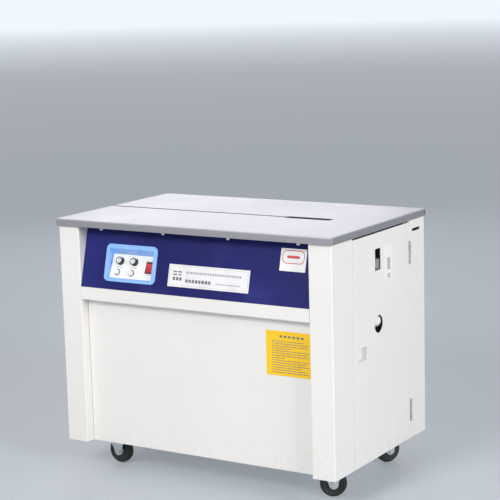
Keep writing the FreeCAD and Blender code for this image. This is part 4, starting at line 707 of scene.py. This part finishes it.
nameplate_white = moulded("satin_nameplate", (0.84, 0.84, 0.85), (0.76, 0.76, 0.78), 0.30, 0.4, 0.0003)
label_white = moulded("printed_white_film", (0.88, 0.88, 0.88), (0.83, 0.83, 0.83), 0.45, 0.2, 0.0002)
label_yellow = moulded("printed_yellow_film", (0.95, 0.60, 0.010), (0.90, 0.55, 0.006), 0.50, 0.05, 0.0002)
pale_ink = printed_ink("pale_grey_ink", (0.36, 0.36, 0.37))
coat(nameplate_white, "nameplate")
coat(label_white, "inspection_label", "door_label")
coat(label_yellow, "notice_label")


def drawn_on(node, lean=0.0, turned=0.0):
    """A drawing plane on a flat label's outer face, its middle at the label's middle."""
    low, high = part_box(node)
    middle = (Vector(low) + Vector(high)) / 2.0
    return (Matrix.Translation(middle) @ Matrix.Rotation(turned, 4, "Z") @ Matrix.Rotation(-lean, 4, "X")
            @ Matrix.Translation((0.0, -LABEL_THICKNESS / 2.0, 0.0)))


def dashes(start, end, up, height, lengths, gap):
    """A row of dashes between two places, repeating the lengths."""
    row = []
    across = start
    step = 0
    while across + lengths[step % len(lengths)] <= end:
        length = lengths[step % len(lengths)]
        row.append((across + length / 2.0, up, length, height, 0.0))
        across += length + gap
        step += 1
    return row


def ruled_border(width, height, inset, line):
    """Four thin lines a little inside a label's edge."""
    across, up = width / 2.0 - inset, height / 2.0 - inset
    return [(0.0, up, 2.0 * across, line, 0.0), (0.0, -up, 2.0 * across, line, 0.0),
            (across, 0.0, line, 2.0 * up, 0.0), (-across, 0.0, line, 2.0 * up, 0.0)]


name_face = drawn_on("nameplate", PANEL_LEAN)
printed("nameplate_border", name_face, ruled_border(*NAMEPLATE_SIZE, 0.0045, 0.0007), pale_ink, "root")
name_rows = dashes(-0.116, -0.086, 0.011, 0.0042, (0.012, 0.014), 0.003)
name_rows += dashes(-0.116, -0.086, 0.003, 0.0042, (0.014, 0.010), 0.004)
name_rows += dashes(-0.116, -0.086, -0.0085, 0.0095, (0.0085,), 0.0022)
name_rows += dashes(-0.074, 0.016, -0.0125, 0.0095, (0.0085, 0.0075, 0.0090), 0.0024)
printed("nameplate_dark_rows", name_face, name_rows, grey_ink, "root")
title_row = dashes(-0.074, 0.112, 0.0105, 0.0065, (0.0060, 0.0048, 0.0066, 0.0052), 0.0022)
title_row += dashes(0.026, 0.108, -0.0140, 0.0035, (0.0050, 0.0040), 0.0016)
printed("nameplate_title_rows", name_face, title_row, pale_ink, "root")

mark_face = drawn_on("inspection_label", PANEL_LEAN)


def printed_ring(width, height, line, corner):
    """A closed ring line with rounded corners, as one thin printed piece."""
    return pierced(flat_bar(width, height, corner), line, lambda middle, normal: abs(normal.y) > 0.9)


ring = printed_ring(*RING_SIZE, RING_LINE, RING_CORNER)
ring.data.transform(mark_face @ Matrix.Translation((0.0, 0.0, RING_UP)))
finished(ring, "inspection_ring", red_ink, "root")
printed("inspection_bar", mark_face, [(0.0, RING_UP, 0.038, 0.0075, 0.0)], red_ink, "root")

notice_face = drawn_on("notice_label")
notice_rows = dashes(-0.030, 0.050, 0.0470, 0.0062, (0.0085,), 0.0048)
for row, reach in enumerate(NOTICE_ENDS):
    notice_rows += dashes(-0.054, reach, NOTICE_TOP - NOTICE_PITCH * row, 0.0021, NOTICE_DASHES, 0.0014)
printed("notice_rows", notice_face, notice_rows, grey_ink, "root")

door_face = drawn_on("door_label", 0.0, FACING_RIGHT)
door_rows = [(0.003, 0.010 - 0.0042 * row, 0.0170, 0.0034, 0.0) for row in range(8)]
door_rows += [(0.003, -0.034 - 0.0042 * row, 0.0150, 0.0032, 0.0) for row in range(3)]
printed("door_label_rows", door_face, door_rows, pale_ink, "door")

# ---- Castors ------------------------------------------------------------------------------------
# Four swivelling castors with a double zinc fork. Each wheel is a black rubber tyre pressed on a
# pale nylon hub that runs on the axle bolt, and each fork carries a ribbed black brake pedal.
CORNERS = ("front_left", "front_right", "rear_left", "rear_right")
TYRE_HALF = ((0.0128, -0.0096), (0.0150, -0.0108), (0.0180, -0.0108), (0.0205, -0.0120),
             (0.0258, -0.0117), (0.0300, -0.0134), (0.0336, -0.0118), (0.0362, -0.0084),
             (0.0373, -0.0040))
HUB_HALF = ((0.0062, -0.0119), (0.0080, -0.0119), (0.0086, -0.0096), (0.0108, -0.0092),
            (0.0114, -0.0109), (0.0131, -0.0110))
PEDAL_RIBS = 5
PEDAL_TOP = 0.0035
PEDAL_RIB_SIZE = (0.0018, 0.0010, 0.0220)
PEDAL_RIB_FIRST = 0.012
PEDAL_RIB_PITCH = 0.0052
PEDAL_RIB_ALONG = 0.0110

tyre_rubber = moulded("black_rubber", (0.014, 0.014, 0.015), (0.008, 0.008, 0.009), 0.55, 0.0, 0.0008)
hub_nylon = moulded("pale_nylon", (0.84, 0.84, 0.84), (0.76, 0.76, 0.77), 0.40, 0.15, 0.0006)
coat(zinc, *(f"caster_fork_{corner}" for corner in CORNERS))
coat(black_plastic, *(f"brake_pedal_{corner}" for corner in CORNERS))


def mirrored(half):
    """A closed outline of (radius, height) pairs from its lower half."""
    return half + tuple((radius, -height) for radius, height in reversed(half))


def spun(outline, steps=72):
    """A closed outline of (radius, height) pairs, turned once round Z."""
    bpy.ops.object.select_all(action="DESELECT")
    bpy.ops.mesh.primitive_circle_add(vertices=len(outline), radius=1.0)
    turned = bpy.context.object
    for vertex, (radius, height) in zip(turned.data.vertices, outline):
        vertex.co = (radius, 0.0, height)
    bpy.ops.object.mode_set(mode="EDIT")
    bpy.ops.mesh.select_all(action="SELECT")
    bpy.ops.mesh.spin(steps=steps, angle=2.0 * math.pi, center=(0.0, 0.0, 0.0), axis=(0.0, 0.0, 1.0))
    bpy.ops.mesh.select_all(action="SELECT")
    bpy.ops.mesh.remove_doubles(threshold=0.00001)
    bpy.ops.mesh.normals_make_consistent(inside=False)
    bpy.ops.object.mode_set(mode="OBJECT")
    bpy.ops.object.shade_smooth_by_angle(angle=math.radians(40.0))
    return turned


def copied(piece, placing):
    """Another of the same piece, with its own mesh, put somewhere else."""
    another = bpy.data.objects.new(piece.name, piece.data.copy())
    bpy.context.collection.objects.link(another)
    another.data.transform(placing)
    return another


def ringed(piece, count):
    """The piece repeated evenly round Z, as one mesh."""
    ring = [copied(piece, Matrix.Rotation(2.0 * math.pi * step / count, 4, "Z")) for step in range(count)]
    bpy.data.objects.remove(piece)
    return joined(ring)


def pedal_grip():
    """Moulded ribs across the top of a brake pedal."""
    ribs = []
    for step in range(PEDAL_RIBS):
        rib = slab(*PEDAL_RIB_SIZE)
        edges_eased(rib, 0.0003, 2)
        across = PEDAL_RIB_FIRST + PEDAL_RIB_PITCH * step
        rib.data.transform(Matrix.Translation((across, PEDAL_RIB_ALONG, PEDAL_TOP + 0.0004)))
        ribs.append(rib)
    return joined(ribs)


for corner in CORNERS:
    place, axle = turns_about(f"caster_roll_{corner}")
    tyre = spun(mirrored(TYRE_HALF), 96)
    tyre.data.transform(outward(place, axle))
    finished(tyre, f"tyre_{corner}", tyre_rubber, f"caster_wheel_{corner}")
    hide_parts(f"caster_wheel_{corner}")
    hub = spun(mirrored(HUB_HALF))
    hub.data.transform(outward(place, axle))
    finished(hub, f"hub_{corner}", hub_nylon, f"caster_wheel_{corner}")
    hinge, axle = turns_about(f"brake_{corner}")
    grip = pedal_grip()
    grip.data.transform(Matrix.Translation(hinge) @ Matrix.Rotation(math.atan2(-axle.x, axle.y), 4, "Z"))
    finished(grip, f"pedal_ribs_{corner}", black_plastic, f"brake_pedal_{corner}")

# ---- Strap reel ---------------------------------------------------------------------------------
# An empty drop-in reel: a tube between two flanges, each stiffened by eight ribs, on a shaft that
# lies in slotted zinc uprights. Tube, flanges, ribs and shaft all have the grey board finish.
REEL_HALF = 0.095
REEL_RIB_LENGTH = 0.070
REEL_RIB_MIDDLE = 0.145

reel_board = moulded("grey_reel_board", (0.34, 0.33, 0.31), (0.26, 0.25, 0.24), 0.62, 0.0, 0.0008)
coat(reel_board, "strap_reel")
reel_place, reel_axis = turns_about("reel_turn")
for name, side in (("reel_ribs_front", -1.0), ("reel_ribs_rear", 1.0)):
    rib = slab(REEL_RIB_LENGTH, 0.0030, 0.0090)
    edges_eased(rib, 0.0010, 3)
    rib.data.transform(Matrix.Translation((REEL_RIB_MIDDLE, 0.0045, side * (REEL_HALF + 0.0004))))
    ribs = ringed(rib, 8)
    ribs.data.transform(outward(reel_place, reel_axis))
    finished(ribs, name, reel_board, "strap_reel")

# ---- Strap guide and tension knob ---------------------------------------------------------------
# The strap runs over a white nylon roller on a sprung arm. The tension knob is a grey moulded
# knob with a knurled rim, on a long shaft from the head.
KNURLS = 36
TENSION_KNOB = (0.42, 0.44)

nylon = moulded("white_nylon", (0.86, 0.86, 0.84), (0.80, 0.80, 0.78), 0.36, 0.2, 0.0006)
knob_grey = moulded("mid_grey_plastic", (0.30, 0.30, 0.30), (0.22, 0.22, 0.225), 0.34, 0.2, 0.0006)
coat(nylon, "guide_roller")
coat(knob_grey, "tension_knob")
knob_place, knob_axis = turns_about("tension_turn")
knurl = slab(0.0016, TENSION_KNOB[1] - TENSION_KNOB[0] - 0.004, 0.0022)
edges_eased(knurl, 0.0004, 2)
knurl.data.transform(Matrix.Translation((0.0149, 0.0011, sum(TENSION_KNOB) / 2.0 - knob_place.x)))
knurling = ringed(knurl, KNURLS)
knurling.data.transform(outward(knob_place, knob_axis))
finished(knurling, "tension_knurling", knob_grey, "tension_knob")

# ---- Main motor ---------------------------------------------------------------------------------
# A small ribbed motor in dark grey enamel, hung under the cross rails, with a pressed fan cover
# at its left end and a terminal box with four screws on its rear side.
MOTOR_MIDDLE = Vector((-0.110, 0.105, 0.635))
MOTOR_RADIUS = 0.055
MOTOR_LEFT = -0.190
FIN_COUNT = 36
NECK_ANGLE = math.radians(27.0)
COVER_OUTLINE = ((0.0556, 0.000), (0.0578, 0.000), (0.0578, 0.030), (0.0550, 0.0360), (0.0480, 0.0385),
                 (0.0470, 0.0370), (0.0540, 0.0345), (0.0556, 0.0295))
GRILLE_RINGS = (0.010, 0.0180, 0.0260, 0.0340, 0.0420)
GRILLE_LINE = 0.0020
GRILLE_BACK = 0.0368
GRILLE_FACE = 0.0382
FIN_SIZE = (0.112, 0.0060, 0.0018)
FIN_PLACE = (0.006, 0.0009, MOTOR_RADIUS + 0.0022)
TERMINAL_PLACE = (MOTOR_MIDDLE.x + 0.01, MOTOR_MIDDLE.y + MOTOR_RADIUS + 0.022, MOTOR_MIDDLE.z)
TERMINAL_FACE = 0.182
ENAMEL_LIGHT = (0.115, 0.125, 0.135)
ENAMEL_DARK = (0.085, 0.092, 0.100)
BACKWARDS = (0.0, 1.0, 0.0)

enamel = painted("dark_grey_enamel", ENAMEL_LIGHT, ENAMEL_DARK, SHOP_DUST, 0.38, 0.00004)
coat(enamel, "drive_motor", "gearbox", "head_frame")


def fixing(name, places, axis, radius, height, sides, material, body):
    """Screw or bolt heads of one kind, each with a socket in its top, as one piece."""
    head = drum(radius, height, 0.0, sides)
    bpy.ops.object.mode_set(mode="EDIT")
    faces_picked(head, lambda middle, normal: normal.z > 0.9)
    bpy.ops.mesh.inset(thickness=radius * 0.5)
    bpy.ops.mesh.inset(thickness=radius * 0.08, depth=-height * 0.5)
    bpy.ops.object.mode_set(mode="OBJECT")
    edges_eased(head, min(radius, height) * 0.15, 2)
    heads = [copied(head, outward(Vector(place), Vector(axis))) for place in places]
    bpy.data.objects.remove(head)
    return finished(joined(heads), name, material, body)


fins = []
for step in range(FIN_COUNT):
    turn = 2.0 * math.pi * step / FIN_COUNT
    if min(turn, 2.0 * math.pi - turn) > NECK_ANGLE:
        fin = slab(*FIN_SIZE)
        fin.data.transform(Matrix.Translation(FIN_PLACE))
        fin.data.transform(Matrix.Rotation(turn, 4, "X"))
        fins.append(fin)
motor_fins = joined(fins)
edges_eased(motor_fins, 0.0004, 2)
motor_fins.data.transform(Matrix.Translation(MOTOR_MIDDLE))
finished(motor_fins, "motor_fins", enamel, "root")

cover_parts = [spun(COVER_OUTLINE)]
for radius in GRILLE_RINGS:
    outer = radius + GRILLE_LINE
    cover_parts.append(spun(((radius, GRILLE_BACK), (outer, GRILLE_BACK), (outer, GRILLE_FACE),
                             (radius, GRILLE_FACE))))
spoke = slab(0.0400, 0.0014, 0.0024)
spoke.data.transform(Matrix.Translation((0.0295, 0.0012, 0.0373)))
cover_parts.append(ringed(spoke, 6))
fan_cover = joined(cover_parts)
fan_place = Vector((MOTOR_LEFT, MOTOR_MIDDLE.y, MOTOR_MIDDLE.z))
fan_cover.data.transform(outward(fan_place, Vector((-1.0, 0.0, 0.0))))
finished(fan_cover, "motor_fan_cover", black_plastic, "root")

terminal_box = slab(0.058, 0.038, 0.024)
edges_eased(terminal_box, 0.0025, 3)
terminal_box.data.transform(Matrix.Translation(TERMINAL_PLACE))
finished(terminal_box, "motor_terminal_box", black_plastic, "root")
fixing("terminal_box_screws", [(TERMINAL_PLACE[0] + across, TERMINAL_FACE, TERMINAL_PLACE[2] + up)
                               for across in (-0.023, 0.023) for up in (-0.013, 0.013)],
       BACKWARDS, 0.0028, 0.0018, 24, zinc, "root")

# ---- Drive: gearbox, pulleys and belt -----------------------------------------------------------
# A cast worm gearbox with a bolted front cover and an oil plug, turned by a black vee belt that
# runs from the small pulley on the motor to the large one on the gearbox.
COVER_PLACE = Vector((0.085, -0.058, 0.625))
COVER_SIZE = (0.078, 0.112)
COVER_FACE = -0.0630
OIL_PLUG_PLACE = (0.106, COVER_FACE, 0.590)
FORWARDS = (0.0, -1.0, 0.0)

belt_rubber = moulded("belt_rubber", (0.030, 0.030, 0.031), (0.018, 0.018, 0.019), 0.60, 0.0, 0.0006)
coat(belt_rubber, "drive_belt")
gear_cover = slab(COVER_SIZE[0], COVER_SIZE[1], 0.0050)
edges_eased(gear_cover, 0.0014, 3)
gear_cover.data.transform(Matrix.Translation(COVER_PLACE))
finished(gear_cover, "gearbox_cover", enamel, "root")
cover_bolts = [(COVER_PLACE.x + across, COVER_FACE, COVER_PLACE.z + up)
               for across in (-0.032, 0.032) for up in (-0.048, 0.0, 0.048)]
fixing("gearbox_cover_bolts", cover_bolts, FORWARDS, 0.0045, 0.0040, 6, zinc, "root")
fixing("gearbox_oil_plug", [OIL_PLUG_PLACE], FORWARDS, 0.0070, 0.0050, 6, cap_aluminium, "root")

# ---- Strapping head -----------------------------------------------------------------------------
# Enamelled plates carry the ground steel grippers, the press and the camshaft. The slide plate
# over them is blackened steel, and the feed roller is grey rubber.
HEAD_FACE = -0.0420

tool_steel = brushed("ground_tool_steel", (0.46, 0.46, 0.47), (0.34, 0.34, 0.35), 0.30, "z", 0.95)
blackened = brushed("blackened_steel", (0.050, 0.050, 0.053), (0.030, 0.030, 0.032), 0.36, "x", 0.75)
feed_rubber = moulded("grey_feed_rubber", (0.16, 0.16, 0.165), (0.11, 0.11, 0.115), 0.65, 0.0, 0.0006)
coat(tool_steel, "left_gripper", "right_gripper", "seal_press", "camshaft")
coat(blackened, "slide_plate")
coat(feed_rubber, "feed_roller")
coat(black_plastic, "feed_motor")
fixing("head_plate_bolts", [(across, HEAD_FACE, up) for across in (0.152, 0.318) for up in (0.560, 0.640)],
       FORWARDS, 0.0050, 0.0045, 6, zinc, "root")

# ---- Covers: control box lid, rear panel screws and power inlet ---------------------------------
# The control box has a thin lid held by four screws, the rear panel shows six screw heads, and
# the power inlet is a black moulded socket.
LID_FACE = -0.383
LID_MIDDLE = (-0.030, 0.550)
LID_THICKNESS = 0.0015
REAR_FACE = 0.281

box_lid = slab(0.168, 0.188, LID_THICKNESS)
edges_eased(box_lid, 0.0005, 2)
lid_place = Matrix.Translation((LID_FACE, LID_MIDDLE[0], LID_MIDDLE[1]))
box_lid.data.transform(lid_place @ Matrix.Rotation(FACING_RIGHT, 4, "Z"))
finished(box_lid, "control_box_lid", white_coat, "root")
fixing("control_box_screws", [(LID_FACE + LID_THICKNESS, LID_MIDDLE[0] + along, LID_MIDDLE[1] + up)
                              for along in (-0.076, 0.076) for up in (-0.086, 0.086)],
       (1.0, 0.0, 0.0), 0.0034, 0.0020, 24, zinc, "root")
fixing("rear_panel_screws", [(across, REAR_FACE, up)
                             for across in (-0.355, 0.355) for up in (0.115, 0.400, 0.700)],
       BACKWARDS, 0.0040, 0.0014, 24, zinc, "root")
coat(black_plastic, "power_inlet")
